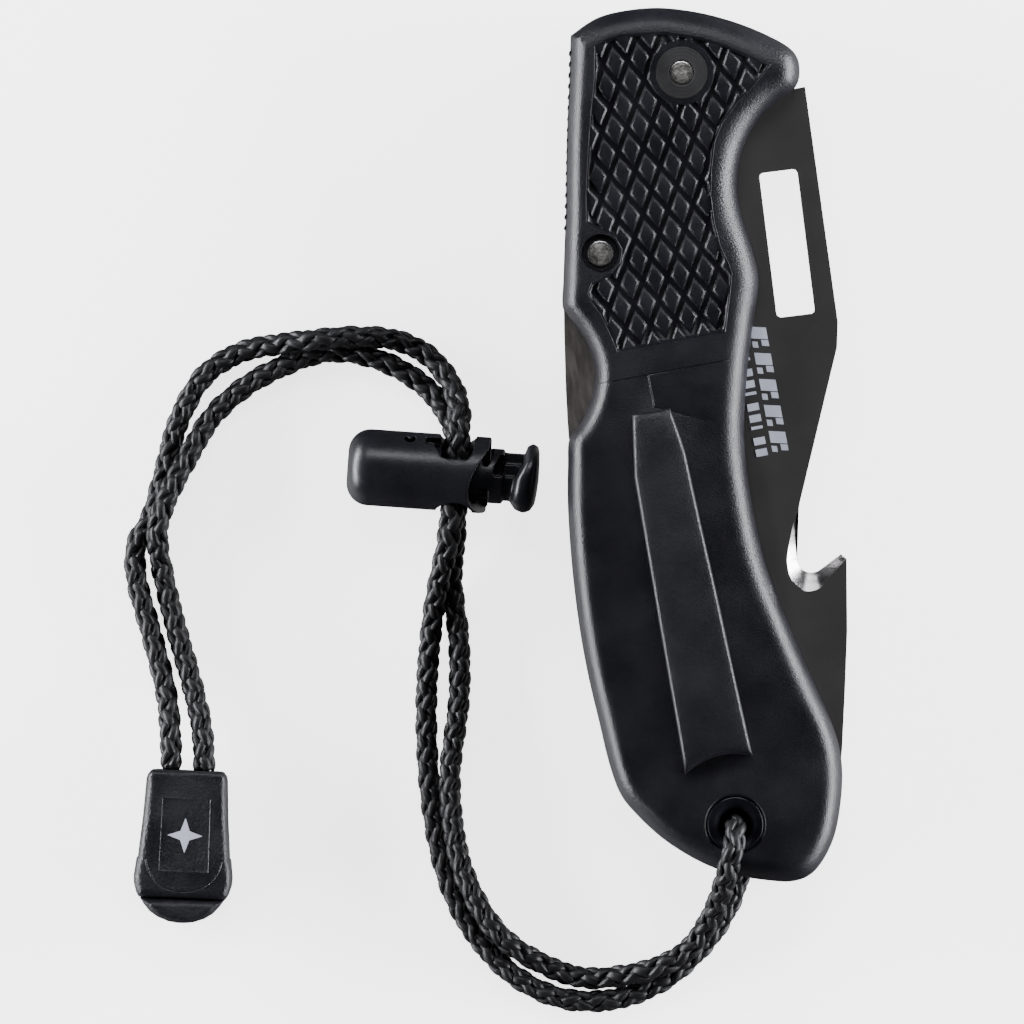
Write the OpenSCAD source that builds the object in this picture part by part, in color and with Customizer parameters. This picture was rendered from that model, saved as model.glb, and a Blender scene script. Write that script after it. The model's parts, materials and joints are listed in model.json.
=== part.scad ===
// Folding rigging knife with a back lock, a moulded pocket clip and a wrist lanyard.
// The knife lies on its back face: +Y runs from the butt to the pivot end, +X to the
// blade side and +Z up through the handle. Inside the file, points are measured from
// the blade pivot, and place() moves them to the origin under the knife's middle.

/* [Handle] */
// Thickness of the handle over both scales
handle_t = 13; // [12:0.5:15]
// Width of the blade slot between the scales
slot_w = 3.4; // [3.2:0.1:3.8]
// Height of the rounding along each outer edge
edge_h = 3.1; // [2:0.1:3.4]
// How far the rounding reaches in from the edge
edge_in = 2.1; // [1:0.1:2.2]
// Distance between the grip teeth on the spine
tooth_pitch = 1.42; // [1.2:0.02:2]
// How far the grip teeth stand out
tooth_h = 0.45; // [0.2:0.05:0.6]

/* [Clip] */
// Height of the clip's outside over the handle's face
clip_h = 3.4; // [3:0.1:4]
// Thickness of the clip
clip_t = 1.9; // [1.6:0.1:2.1]

/* [Blade] */
// Thickness of the blade
blade_t = 2.8; // [2.4:0.05:2.85]
// Radius of the round tang that the lock bar's nose rides on
tang_r = 7.4; // [7:0.1:7.5]
// Radius of the blade's bore
blade_bore_r = 3.05; // [3.03:0.01:3.08]
// Width of the shackle key slot
key_w = 5.05; // [4.8:0.05:5.2]
// Length of the shackle key slot
key_l = 19; // [16:0.5:19]
// Radius of the hook's round bottom
hook_r = 1.9; // [1.7:0.1:2]

/* [Pivot] */
// Radius of the pivot pin
pin_r = 1.6; // [1.4:0.1:1.8]
// Radius of the sleeve that the blade turns on
sleeve_r = 3; // [2.95:0.01:3]
// Radius of the bush in each scale
bush_r = 3.4; // [3.2:0.1:3.8]
// Outer radius of the washers
washer_r = 6.2; // [5:0.1:6.5]
// Thickness of the washers
washer_t = 0.28; // [0.2:0.02:0.28]

/* [Lock] */
// Thickness of the lock bar
bar_t = 3; // [2.6:0.1:3.1]
// Radius of the lock bar's pin
lock_pin_r = 1.7; // [1.5:0.1:1.8]
// Radius of the recess round the lock bar's pin
lock_recess_r = 2.5; // [2.2:0.1:2.6]

/* [Lanyard] */
// Diameter of the cord
cord_d = 3; // [2.8:0.1:3]
// Radius of the eyelet's waist
eyelet_r = 1.9; // [1.8:0.1:2]
// Thickness of the eyelet's wall at its waist
eyelet_wall = 1.1; // [1:0.05:1.15]
// Diameter of the cord lock's barrel
barrel_d = 10; // [9.8:0.1:10]
// Radius of the cord lock's plunger
plunger_r = 3.58; // [3.5:0.02:3.6]
// Travel of the cord lock's button
press_travel = 2.8; // [2:0.1:2.8]
// Thickness of the cord end
end_t = 8; // [7.6:0.1:8.4]

/* [Hidden] */
$fn = 64;

// Heights of the layers
mid_z = handle_t / 2;
slot_lo = mid_z - slot_w / 2;
slot_hi = mid_z + slot_w / 2;

// Radius of the hole that the eyelet sits in
socket_r = eyelet_r + eyelet_wall;

// Where the lock bar turns, and where the lanyard goes through
lock_at = [-14.6, -21.1];
lanyard_at = [-10.9, -97.1];

// Lock bar and tang: arcs about the lock pin, so that the nose swings into its notch
nose_front_r = 25.4;
nose_rear_r = 22.9;
notch_gap = 0.25;
notch_floor_r = 6.2;
nose_floor_r = tang_r + 0.2;
bar_rear_r = 24.4;

// Control points of the handle's outline, from the corner over the spine to the butt:
// one list goes along the top and down the blade side, one down the spine. Points with
// the same place in both lists face each other across the handle.
side_blade = [
    [-13.2, 7.5], [-9.5, 9.1], [-5.5, 9.4], [-1, 8.9], [4, 7.3], [8.7, 5], [12.6, 2.4],
    [14.8, 0.3], [15.3, -1.9], [14.3, -4.4], [10.9, -6.1], [8.2, -8.2], [6, -11.2],
    [4.6, -15], [4.3, -19], [4.9, -23.7], [5, -28.2], [4.5, -30.2], [3.9, -32], [3.2, -33.9],
    [2.5, -36], [1.8, -38.3], [1.2, -40.6], [0.5, -43.2], [-0.1, -46.2], [-0.8, -50.5],
    [-1.1, -56], [-1, -62], [-0.4, -68], [0.6, -73.5], [2, -79], [3.3, -84.5], [4.1, -89],
    [4.1, -92.8], [3.4, -96.3], [2, -99.9], [0.2, -103], [-2.3, -105.2], [-5.2, -105.8],
    [-9, -104.8]
];
side_spine = [
    [-13.2, 7.5], [-13.7, 5.3], [-14, 4.1], [-14.2, 3], [-14.4, 1.9], [-14.7, 0.8],
    [-14.9, -0.4], [-15.2, -1.7], [-15.6, -3.2], [-16, -5], [-16.4, -7], [-16.9, -9.3],
    [-17.4, -12], [-18, -15], [-18.8, -18.5], [-19.9, -23.5], [-20.6, -26.7],
    [-20.1, -28.4], [-19.1, -30.4], [-18.3, -32.8], [-18, -35.4], [-18.5, -37.8],
    [-19.5, -40], [-20.9, -42], [-22.9, -44], [-23.7, -47.3], [-24.6, -52],
    [-25.3, -57.5], [-25.8, -63], [-26.1, -69], [-26.1, -75], [-25.8, -81], [-25.5, -86.5],
    [-24.8, -90.6], [-23.2, -93.6], [-20.6, -97.1], [-17.5, -100.1], [-14.5, -102.3],
    [-11.7, -103.8], [-9, -104.8]
];
samples = 2;

// Blade, closed: the heel's corner, the kinks in its back, the hook and the tip
heel_x = 15.7;
hook_at = [5.25, -65];
beak = [9.7, -65.9];
key_at = [9.6, -24.1];
key_tilt = -3.4;
tip_r = 96.6;

// Cord lock: the middle of its cord hole and the direction of its barrel
lock_c = [-38.2, -45.7];
lock_a = -14.5;
hole_half = 2.3;
hole_mid = 0.75;
bore_r = plunger_r + 0.1;
barrel_from = -14.2;
barrel_to = 4.1;
barrel_floor = -12.7;
plunger_from = -4.1;
window_from = -2.1;
window_to = 5;
window_half = 2.95;
barrel_z = barrel_d / 2;
squeeze_reach = 9.5;

// Cord end: the middle of its top face and its direction
end_c = [-79.7, -77.4];
end_a = -12.9;
leg_x = 2.15;

// Routes of the two legs of the lanyard, from the middle of the eyelet to the cord end
front_route = [
    [-10.9, -97.1, 6.5], [-10.9, -97.1, 11.3], [-11.1, -98.2, 13.5], [-11.9, -100.4, 14.7],
    [-12.8, -102.4, 14.1], [-13.6, -104.1, 12.2], [-14.8, -106.5, 8.8],
    [-16.7, -109.3, 5.8], [-19.7, -112.2, 4.4], [-24.2, -113.8, 4.1], [-29.4, -114.1, 2.5],
    [-34.2, -113.4, 1.5], [-38.6, -110.9, 1.5], [-42.8, -107, 3], [-45.5, -101.9, 3.4],
    [-47, -94.5, 3.4], [-46.3, -84.8, 2.7], [-43.3, -75, 1.5], [-41.9, -67.5, 1.5],
    [-41.6, -62.6, 1.5], [-41.2, -58.6, 2.4], [-40, -54, 3.62], [-38.2, -45.7, 3.62],
    [-37.4, -40.6, 3.6], [-38, -37.6, 2.6], [-40, -34, 1.5], [-43.6, -30.5, 1.5],
    [-48, -28, 1.5], [-52.6, -27, 1.5], [-58, -27.8, 1.5], [-63.2, -29.5, 1.5],
    [-68.2, -32.6, 1.6], [-72.3, -37.3, 3.2], [-75.8, -41.9, 4.3], [-77.9, -46, 4],
    [-78.3, -51, 1.5], [-77.9, -58.6, 1.5], [-77.2, -66, 1.9], [-76.9, -72.4, 3.8],
    [-77.55, -77.7, 4]
];
back_route = [
    [-10.9, -97.1, 6.5], [-10.9, -97.1, 4.9], [-10.9, -98.4, 2.4], [-10.9, -101, 1.5],
    [-11.6, -104.4, 1.5], [-13.9, -108.2, 1.5], [-17.6, -112, 1.5], [-23.6, -115.7, 1.5],
    [-30.4, -117, 1.5], [-37, -115.7, 1.5], [-42.3, -112, 1.5], [-45.9, -107, 1.5],
    [-48.3, -101, 1.5], [-49.3, -94, 1.5], [-49.1, -85.5, 1.5], [-48, -77, 1.5],
    [-46.4, -69.6, 1.5], [-44.5, -63.2, 2.4], [-42.7, -58.4, 4.8], [-40.8, -54, 6.38],
    [-38.2, -45.7, 6.38], [-36.9, -40.5, 6.38], [-36.3, -37.3, 5.2], [-36.9, -33.6, 2.8],
    [-39.3, -29.6, 1.7], [-43.4, -26.9, 2.4], [-48.9, -25.6, 3.6], [-53.6, -25.2, 3.9],
    [-58, -24.9, 2.6], [-63, -25, 1.5], [-68.3, -27.2, 1.5], [-72.6, -32.3, 1.5],
    [-75.6, -38.4, 1.5], [-78.4, -44, 1.5], [-81, -47.3, 1.5], [-81.8, -52, 1.5],
    [-81.2, -59, 1.5], [-80.7, -66.5, 1.9], [-81, -71.9, 3.8], [-81.75, -76.7, 4]
];
cord_sides = 8;

// ---- Functions --------------------------------------------------------------

function unit(v) = v / norm(v);
function reversed(p) = [for (i = [len(p) - 1:-1:0]) p[i]];
function arc(c, r, a, b, n) =
    [for (i = [0:n]) c + r * [cos(a + (b - a) * i / n), sin(a + (b - a) * i / n)]];

// A smooth curve through points, with n samples to each stretch
function curve_at(a, b, c, d, t) =
    0.5 * (2 * b + (c - a) * t + (2 * a - 5 * b + 4 * c - d) * t * t
           + (3 * b - a - 3 * c + d) * t * t * t);
function smooth(p, n) = [
    for (i = [0:len(p) - 2], k = [0:n - 1])
        curve_at(p[max(i - 1, 0)], p[i], p[i + 1], p[min(i + 2, len(p) - 1)], k / n),
    p[len(p) - 1]
];

// One closed outline from two sides that share their ends
function closed(one, two) = concat(one, reversed([for (i = [1:len(two) - 2]) two[i]]));

// The outline moved inwards by d; it runs clockwise
function edge_normal(a, b) = let (d = unit(b - a)) [d.y, -d.x];
function inset(o, d) = [
    for (i = [0:len(o) - 1])
        let (n = len(o),
             u = edge_normal(o[(i + n - 1) % n], o[i]),
             v = edge_normal(o[i], o[(i + 1) % n]))
        o[i] + d * (u + v) / (1 + u * v)
];

handle_outline = closed(smooth(side_blade, samples), smooth(side_spine, samples));
centre = [
    (min([for (p = handle_outline) p.x]) + heel_x) / 2,
    (min([for (p = handle_outline) p.y]) + max([for (p = handle_outline) p.y])) / 2
];

// ---- Building blocks --------------------------------------------------------

module place() {
    translate([-centre.x, -centre.y, 0]) children();
}

// A plate with rounded edges: each step is a height and how far in it is. Its two
// flat ends are strips across from one side of the outline to the other, and the
// sides either share their end points (pointed) or face each other there.
module rounded_plate(outline, steps, pointed = true) {
    n = len(outline);
    half = n / 2;
    top = (len(steps) - 1) * n;
    points = [for (s = steps, p = inset(outline, s[1])) [p.x, p.y, s[0]]];
    strips = pointed ? concat(
        [[0, 1, n - 1], [half - 1, half, half + 1]],
        [for (i = [1:half - 2]) [i, i + 1, n - i - 1, n - i]]
    ) : [for (i = [0:half - 2]) [i, i + 1, n - i - 2, n - i - 1]];
    walls = [
        for (k = [0:len(steps) - 2], i = [0:n - 1])
            let (j = (i + 1) % n)
            each [[k * n + i, (k + 1) * n + i, k * n + j],
                  [k * n + j, (k + 1) * n + i, (k + 1) * n + j]]
    ];
    floor_faces = [for (f = strips) reversed(f)];
    roof_faces = [for (f = strips) [for (i = f) i + top]];
    polyhedron(points, concat(walls, floor_faces, roof_faces), convexity = 8);
}

// The four steps of a rounded edge that ends on a flat face at z
function edge_steps(z, h, d, up) = [
    [z - up * h, 0], [z - up * h * 0.5, d * 0.14],
    [z - up * h * 0.18, d * 0.5], [z, d]
];

module ring(inner, outer, z, h) {
    translate([0, 0, z]) difference() {
        cylinder(r = outer, h = h);
        translate([0, 0, -1]) cylinder(r = inner, h = h + 2);
    }
}

// A pin along Z with a shallow cone on each end
module domed_pin(r, z, h) {
    dome = r * 0.25;
    translate([0, 0, z]) cylinder(r1 = r * 0.6, r2 = r, h = dome);
    translate([0, 0, z + dome]) cylinder(r = r, h = h - 2 * dome);
    translate([0, 0, z + h - dome]) cylinder(r1 = r, r2 = r * 0.6, h = dome);
}

// A rectangle with round corners, all true arcs
module round_rect(w, l, r) {
    square([w - 2 * r, l], center = true);
    square([w, l - 2 * r], center = true);
    for (x = [-1, 1], y = [-1, 1])
        translate([x * (w / 2 - r), y * (l / 2 - r)]) circle(r);
}

// ---- Handle -----------------------------------------------------------------

// Grip teeth along the spine, on one scale
module teeth(z, h) {
    from = [-13.4, 6];
    to = [-18.55, -18];
    count = floor(norm(to - from) / tooth_pitch);
    along = unit(to - from);
    out = [along.y, -along.x];
    zigzag = [
        for (i = [0:2 * count])
            from + along * tooth_pitch * i / 2 + out * (i % 2 == 1 ? tooth_h : 0)
    ];
    root = [to - out * 1, from - out * 1];
    translate([0, 0, z]) linear_extrude(h) polygon(concat(zigzag, root));
}

module lanyard_socket() {
    translate(lanyard_at) rotate_extrude() polygon([
        [0, -1], [socket_r, -1], [socket_r, handle_t - 1.4],
        [socket_r + 0.6, handle_t - 0.6], [socket_r + 0.6, handle_t + 1], [0, handle_t + 1]
    ]);
}

module clip() {
    face = handle_t;
    outside = [
        [-14.4, -42.4], [-9.4, -42.5], [-8.5, -48.5], [-7.1, -90.5], [-16.1, -90.5],
        [-15.6, -50.5]
    ];
    under = clip_h - clip_t;
    profile = [
        [-90.5, -1], [-90.5, 1], [-88.5, 2.6], [-85, clip_h - 0.2], [-80, clip_h],
        [-60, clip_h], [-45.5, clip_h - 0.5], [-42.9, clip_h - 0.7], [-42.2, clip_h - 1.3],
        [-42.6, clip_h - 1.9], [-46.5, 0.7], [-60, under], [-79, under], [-81, 0.8], [-81.5, -1]
    ];
    difference() {
        intersection() {
            translate([0, 0, face - 2]) linear_extrude(clip_h + 3) polygon(outside);
            translate([-20, 0, face]) rotate([90, 0, 90]) linear_extrude(20)
                polygon(profile);
        }
        translate([lanyard_at.x, lanyard_at.y, 0]) cylinder(r = 9.2, h = 30);
    }
}

module front_scale() color([0.07, 0.07, 0.08]) place() {
    difference() {
        union() {
            rounded_plate(handle_outline, concat(
                [[slot_hi, 0]], edge_steps(handle_t, edge_h, edge_in, 1)));
            teeth(slot_hi, 1.6);
            clip();
        }
        cylinder(r = bush_r, h = 30);
        translate(lock_at) cylinder(r = lock_pin_r, h = 30);
        translate([lock_at.x, lock_at.y, handle_t - 0.7]) cylinder(r = lock_recess_r, h = 2);
        lanyard_socket();
    }
}

// The back scale has a channel from the eyelet to the butt, so that the lanyard's
// back leg leaves under the handle while the knife lies flat
module back_scale() color([0.07, 0.07, 0.08]) place() {
    channel_w = 2 * socket_r + 1.4;
    channel_h = cord_d + 0.1;
    difference() {
        union() {
            rounded_plate(handle_outline, concat(
                reversed(edge_steps(0, edge_h, edge_in, -1)), [[slot_lo, 0]]));
            teeth(slot_lo - 1.6, 1.6);
        }
        translate([0, 0, -1]) cylinder(r = bush_r, h = 30);
        translate([lock_at.x, lock_at.y, -1]) cylinder(r = lock_pin_r, h = 30);
        translate([lock_at.x, lock_at.y, -1]) cylinder(r = lock_recess_r, h = 1.7);
        translate([lanyard_at.x, lanyard_at.y, -1])
            cylinder(r = channel_w / 2, h = channel_h + 1);
        translate([lanyard_at.x - channel_w / 2, lanyard_at.y - 20, -1])
            cube([channel_w, 20, channel_h + 1]);
        translate([lanyard_at.x, lanyard_at.y, -1]) cylinder(r = socket_r, h = 30);
        translate([lanyard_at.x, lanyard_at.y, channel_h])
            cylinder(r1 = socket_r + 0.6, r2 = socket_r, h = 1.2);
    }
}

// The web between the scales: the closed spine behind the lock bar and the butt
module spine_spacer() color([0.1, 0.1, 0.11]) place() {
    spine = smooth(side_spine, samples);
    butt = smooth(side_blade, samples);
    outer = concat(
        [for (p = spine) if (p.y < -43.9) p],
        [for (i = [len(butt) - 2:-1:0]) if (butt[i].y < -96.7) butt[i]]
    );
    inner = concat(
        arc([0, 0], tip_r, -88.3, -93.2, 4),
        [[-8.3, -92.4], [-14.5, -91], [-18.6, -86.5], [-20.2, -80], [-20.6, -70],
         [-20, -60], [-18.8, -50], [-18.2, -44]]
    );
    difference() {
        translate([0, 0, slot_lo]) linear_extrude(slot_w) polygon(concat(outer, inner));
        translate([lock_at.x, lock_at.y, 0]) cylinder(r = bar_rear_r + 0.4, h = 30);
        translate([lanyard_at.x, lanyard_at.y, 0]) cylinder(r = socket_r, h = 30);
    }
}

// ---- Pivot ------------------------------------------------------------------

module pivot_pin() color([0.75, 0.74, 0.71]) place() domed_pin(pin_r, 0.3, handle_t - 0.6);

module pivot_sleeve() color([0.6, 0.6, 0.6]) place() ring(pin_r, sleeve_r, slot_lo, slot_w);

module bush(z, groove_z) {
    difference() {
        ring(pin_r, bush_r, z, slot_lo - 0.1);
        ring(pin_r, bush_r - 0.8, groove_z, 0.9);
    }
}

module front_bush() color([0.2, 0.21, 0.21]) place() bush(slot_hi, handle_t - 1);

module back_bush() color([0.2, 0.21, 0.21]) place() bush(0.1, 0.1);

module front_washer() color([0.7, 0.55, 0.3]) place()
    ring(sleeve_r + 0.1, washer_r, slot_hi - washer_t, washer_t);

module back_washer() color([0.7, 0.55, 0.3]) place()
    ring(sleeve_r + 0.1, washer_r, slot_lo, washer_t);

// ---- Blade ------------------------------------------------------------------

blade_outline = concat(
    [[-5.5, 4.8], [0, 3], [6.5, -0.5], [heel_x - 0.06, -3], [14.2, -35.4], [13.5, -38.6],
     [5.05, -57.6], [4.8, -58.3]],
    arc(hook_at, hook_r, 180, 301, 8),
    [[9.15, -65.2], beak, [8.1, -75], [6.4, -82.6], [4.6, -90.2], [3.4, -94.2],
     [2.7, -95.3], [1.4, -95.5], [-1.2, -94], [-4, -90.6], [-6.2, -86.4], [-7.6, -81.4],
     [-8.2, -75.5], [-8.2, -16], [-7, -14.4], [-7.2, -11], [-7.6, -8], [-5.5, -5]]
);

module blade_profile() {
    difference() {
        union() {
            circle(tang_r);
            polygon(reversed(blade_outline));
        }
        circle(blade_bore_r);
        translate(key_at) rotate(key_tilt) round_rect(key_w, key_l, 0.65);
        // Notch that the lock bar's nose drops into when the blade is open, which
        // also cuts the heel that stops against the bar
        difference() {
            translate(-lock_at) circle(nose_front_r + notch_gap);
            translate(-lock_at) circle(nose_rear_r - notch_gap);
            circle(notch_floor_r);
            translate([-20, -40]) square([20, 60]);
        }
        // Relief over the same nose when the blade is closed
        difference() {
            polygon([[0, 0], [-9, 5.8], [-9.5, 3], [-9.5, 0], [-9, -1.3]]);
            circle(notch_floor_r);
        }
    }
}

module blade() color([0.23, 0.22, 0.21]) place() {
    grind_w = 9;
    edge_t = 0.5;
    grind = atan((blade_t - edge_t) / 2 / grind_w);
    difference() {
        translate([0, 0, mid_z - blade_t / 2]) linear_extrude(blade_t) blade_profile();
        for (side = [-1, 1])
            translate([-8.2, -100, mid_z + side * edge_t / 2])
                rotate([0, -side * grind, 0])
                    translate([-5, 0, side > 0 ? 0 : -5]) cube([14.5, 82.5, 5]);
    }
}

// ---- Lock -------------------------------------------------------------------

module lock_bar() color([0.5, 0.5, 0.47]) place() {
    arm = [
        [-12.6, 9], [-20.4, -26.5], [-21, -30], [-21.6, -33.8], [-22.2, -37.7],
        [-22.7, -41.5], [-23.3, -47], [-18.9, -47], [-18.4, -42], [-17.2, -36],
        [-15, -28.5], [-12, -25], [-10.4, -21.5], [-10, -16], [-9.2, -8], [-9, 9]
    ];
    translate([0, 0, mid_z - bar_t / 2]) linear_extrude(bar_t) difference() {
        intersection() {
            union() {
                polygon(arm);
                difference() {
                    translate([-12, -2]) square([7, 8]);
                    translate(lock_at) circle(nose_rear_r);
                }
            }
            union() {
                translate(lock_at) circle(bar_rear_r);
                intersection() {
                    translate(lock_at) circle(nose_front_r);
                    translate([-30, -20]) square([40, 40]);
                }
            }
        }
        circle(nose_floor_r);
        translate(lock_at) circle(lock_pin_r + 0.05);
    }
}

module lock_pin() color([0.75, 0.74, 0.71]) place()
    translate(lock_at) domed_pin(lock_pin_r, 0.35, handle_t - 0.7);

// A flat spring held against the spacer, which pushes the bar's rear end outwards
module lock_spring() color([0.62, 0.64, 0.68]) place() {
    middle = smooth([[-18.9, -60.5], [-17.9, -52], [-17.2, -46], [-17, -41],
                     [-17.25, -38.9]], 4);
    half = 0.45;
    along = [for (i = [0:len(middle) - 1])
        unit(middle[min(i + 1, len(middle) - 1)] - middle[max(i - 1, 0)])];
    left = [for (i = [0:len(middle) - 1]) middle[i] + half * [-along[i].y, along[i].x]];
    right = [for (i = [0:len(middle) - 1]) middle[i] - half * [-along[i].y, along[i].x]];
    translate([0, 0, mid_z - 1.3]) linear_extrude(2.6)
        polygon(concat(left, reversed(right)));
}

// ---- Lanyard ----------------------------------------------------------------

module lanyard_eyelet() color([0.08, 0.08, 0.09]) place() {
    lip = 1.6;
    low = cord_d + 0.15;
    high = handle_t - 0.05;
    translate(lanyard_at) rotate_extrude() polygon(concat(
        [[socket_r, low + 0.95], [socket_r, high - 1.35],
         [socket_r + 0.6, high - 0.55], [socket_r + 0.6, high]],
        arc([eyelet_r + lip, high - lip], lip, 90, 180, 6),
        arc([eyelet_r + lip, low + lip], lip, 180, 270, 6)
    ));
}

// The tube of one leg: a level ring at each point of its route. Where the cord lock
// grips it, the cord is pressed flatter and wider.
function route_dir(p, i) = unit(p[min(i + 1, len(p) - 1)] - p[max(i - 1, 0)]);
function heading(p, i) =
    let (d = p[min(i + 1, len(p) - 1)] - p[max(i - 1, 0)], h = [d.x, d.y, 0])
    norm(h) > 0.1 ? unit(h) : heading(p, i + 1);
function pressed(p) =
    let (d = norm([p.x - lock_c.x, p.y - lock_c.y]))
    d < squeeze_reach ? 1 : max(0, 1 - (d - squeeze_reach) / 4);
module cord_tube(route) {
    n = cord_sides;
    last = len(route) - 1;
    points = [
        for (i = [0:last])
            let (s = cross(heading(route, i), [0, 0, 1]), t = cross(route_dir(route, i), s),
                 q = pressed(route[i]))
            for (k = [0:n - 1])
                let (a = 360 * (k + 0.5) / n, v = s * cos(a) + t * sin(a))
                route[i] + cord_d / 2 * [v.x * (1 + 0.08 * q), v.y * (1 + 0.08 * q),
                                         v.z * (1 - 0.16 * q)]
    ];
    walls = [
        for (i = [0:last - 1], k = [0:n - 1])
            let (m = (k + 1) % n)
            each [[i * n + k, i * n + m, (i + 1) * n + k],
                  [i * n + m, (i + 1) * n + m, (i + 1) * n + k]]
    ];
    ends = [[for (k = [0:n - 1]) k], reversed([for (k = [0:n - 1]) last * n + k])];
    polyhedron(points, concat([for (f = walls) reversed(f)], ends));
}

module front_cord() color([0.05, 0.05, 0.05]) place() cord_tube(front_route);

module back_cord() color([0.05, 0.05, 0.05]) place() cord_tube(back_route);

// ---- Cord lock --------------------------------------------------------------

// Children are built with the barrel along +X and the cord hole along Y
module at_cord_lock() {
    place() translate([lock_c.x, lock_c.y, barrel_z]) rotate([0, 0, lock_a]) children();
}

module lathe_x(profile) {
    rotate([0, 90, 0]) rotate_extrude() polygon([for (p = profile) [p[1], p[0]]]);
}

// The hole for two strands, one on the other
module strand_hole(half, mid) {
    rotate([90, 0, 0]) translate([0, 0, -15]) linear_extrude(30) {
        for (y = [-mid, mid]) translate([0, y]) circle(half);
        square([2 * half, 2 * mid], center = true);
    }
}

module cord_lock_barrel() color([0.1, 0.1, 0.11]) at_cord_lock() {
    r = barrel_d / 2;
    nose_r = 2.5;
    saddle_r = 6;
    difference() {
        lathe_x(concat(
            [[barrel_from, 0]],
            arc([barrel_from + nose_r, r - nose_r], nose_r, 180, 90, 6),
            [[barrel_to, r], [barrel_to, bore_r], [barrel_floor, bore_r], [barrel_floor, 0]]
        ));
        strand_hole(hole_half, hole_mid);
        translate([1.8 + saddle_r, 0, -15]) cylinder(r = saddle_r, h = 30);
    }
}

module cord_lock_plunger() color([0.1, 0.1, 0.11]) at_cord_lock() {
    cap_from = barrel_to + press_travel + 0.2;
    cap_to = 10.8;
    cap_r = 4.5;
    difference() {
        lathe_x([[plunger_from, 0], [plunger_from, plunger_r], [6.1, plunger_r],
                 [6.1, 3.05], [cap_from, 3.05], [cap_from, cap_r - 0.6],
                 [cap_from + 0.7, cap_r], [cap_to - 0.9, cap_r], [cap_to, cap_r - 1],
                 [cap_to, 0]]);
        translate([window_from, -15, -window_half])
            cube([window_to - window_from, 30, 2 * window_half]);
    }
}

module cord_lock_spring() color([0.7, 0.71, 0.72]) at_cord_lock() {
    wire = 0.3;
    coil_r = 2.5;
    turns = 6;
    steps = 12;
    sides = 6;
    from = barrel_floor + wire + 0.02;
    run = plunger_from - wire - 0.02 - from;
    rings = turns * steps;
    points = [
        for (i = [0:rings], k = [0:sides - 1])
            let (a = 360 * i / steps, b = 360 * k / sides, r = coil_r + wire * cos(b))
            [from + run * i / rings + wire * sin(b), r * cos(a), r * sin(a)]
    ];
    walls = [
        for (i = [0:rings - 1], k = [0:sides - 1])
            let (m = (k + 1) % sides)
            each [[i * sides + k, (i + 1) * sides + k, i * sides + m],
                  [i * sides + m, (i + 1) * sides + k, (i + 1) * sides + m]]
    ];
    ends = [[for (k = [0:sides - 1]) k],
            reversed([for (k = [0:sides - 1]) rings * sides + k])];
    polyhedron(points, concat(walls, ends));
}

// ---- Cord end ---------------------------------------------------------------

// Children are built with the top face's middle at the origin and the end along -Y
module at_cord_end() {
    place() translate([end_c.x, end_c.y, 0]) rotate([0, 0, end_a]) children();
}

body_side = [
    [4.4, 0], [5.2, -0.8], [5.5, -6], [6.05, -11.5], [6.4, -13.8], [6.2, -15.4], [5.6, -16.6]
];
cap_side = [[5.5, -16.7], [4.6, -18], [3.4, -19], [1.8, -19.7]];
cavity = [9.4, 14.6, 5.6];

function mirrored(side) = concat(side, reversed([for (p = side) [-p.x, p.y]]));
function end_steps(d, e) =
    [[0, d], [e, d * 0.3], [e * 2, 0], [end_t - e * 2, 0], [end_t - e, d * 0.3], [end_t, d]];

module cord_end_body() color([0.1, 0.1, 0.11]) at_cord_end() {
    difference() {
        rounded_plate(mirrored(body_side), end_steps(0.7, 0.5), false);
        translate([-cavity.x / 2, -2 - cavity.y, (end_t - cavity.z) / 2]) cube(cavity);
        for (x = [-leg_x, leg_x])
            translate([x, 1, end_t / 2]) rotate([90, 0, 0]) cylinder(r = cord_d / 2 + 0.05, h = 4);
    }
}

module cord_end_cap() color([0.1, 0.1, 0.11]) at_cord_end() {
    plug = [cavity.x - 0.4, 2.4, cavity.z - 0.4];
    rounded_plate(mirrored(cap_side), end_steps(0.5, 0.5), false);
    translate([-plug.x / 2, -16.8, (end_t - plug.z) / 2]) cube(plug);
}

// Each leg's end goes through the top face and is tied in a knot inside
module cord_knots() color([0.05, 0.05, 0.05]) at_cord_end() {
    for (x = [-leg_x, leg_x]) translate([x, 0, end_t / 2]) rotate([90, 0, 0]) {
        cylinder(r = cord_d / 2, h = 3);
        translate([0, 0, 2.2]) rotate_extrude() polygon(concat(
            [[0, 0]], arc([1.1, 1.1], 1, -60, 90, 6), arc([1.1, 4.4], 1, -90, 60, 6), [[0, 5.5]]));
    }
}

front_scale();
back_scale();
spine_spacer();
pivot_pin();
pivot_sleeve();
front_bush();
back_bush();
front_washer();
back_washer();
blade();
lock_bar();
lock_pin();
lock_spring();
lanyard_eyelet();
front_cord();
back_cord();
cord_lock_barrel();
cord_lock_plunger();
cord_lock_spring();
cord_end_body();
cord_end_cap();
cord_knots();
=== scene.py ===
import json
import math

import bpy
import numpy as np
from mathutils import Matrix, Vector
from mathutils.geometry import delaunay_2d_cdt


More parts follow.
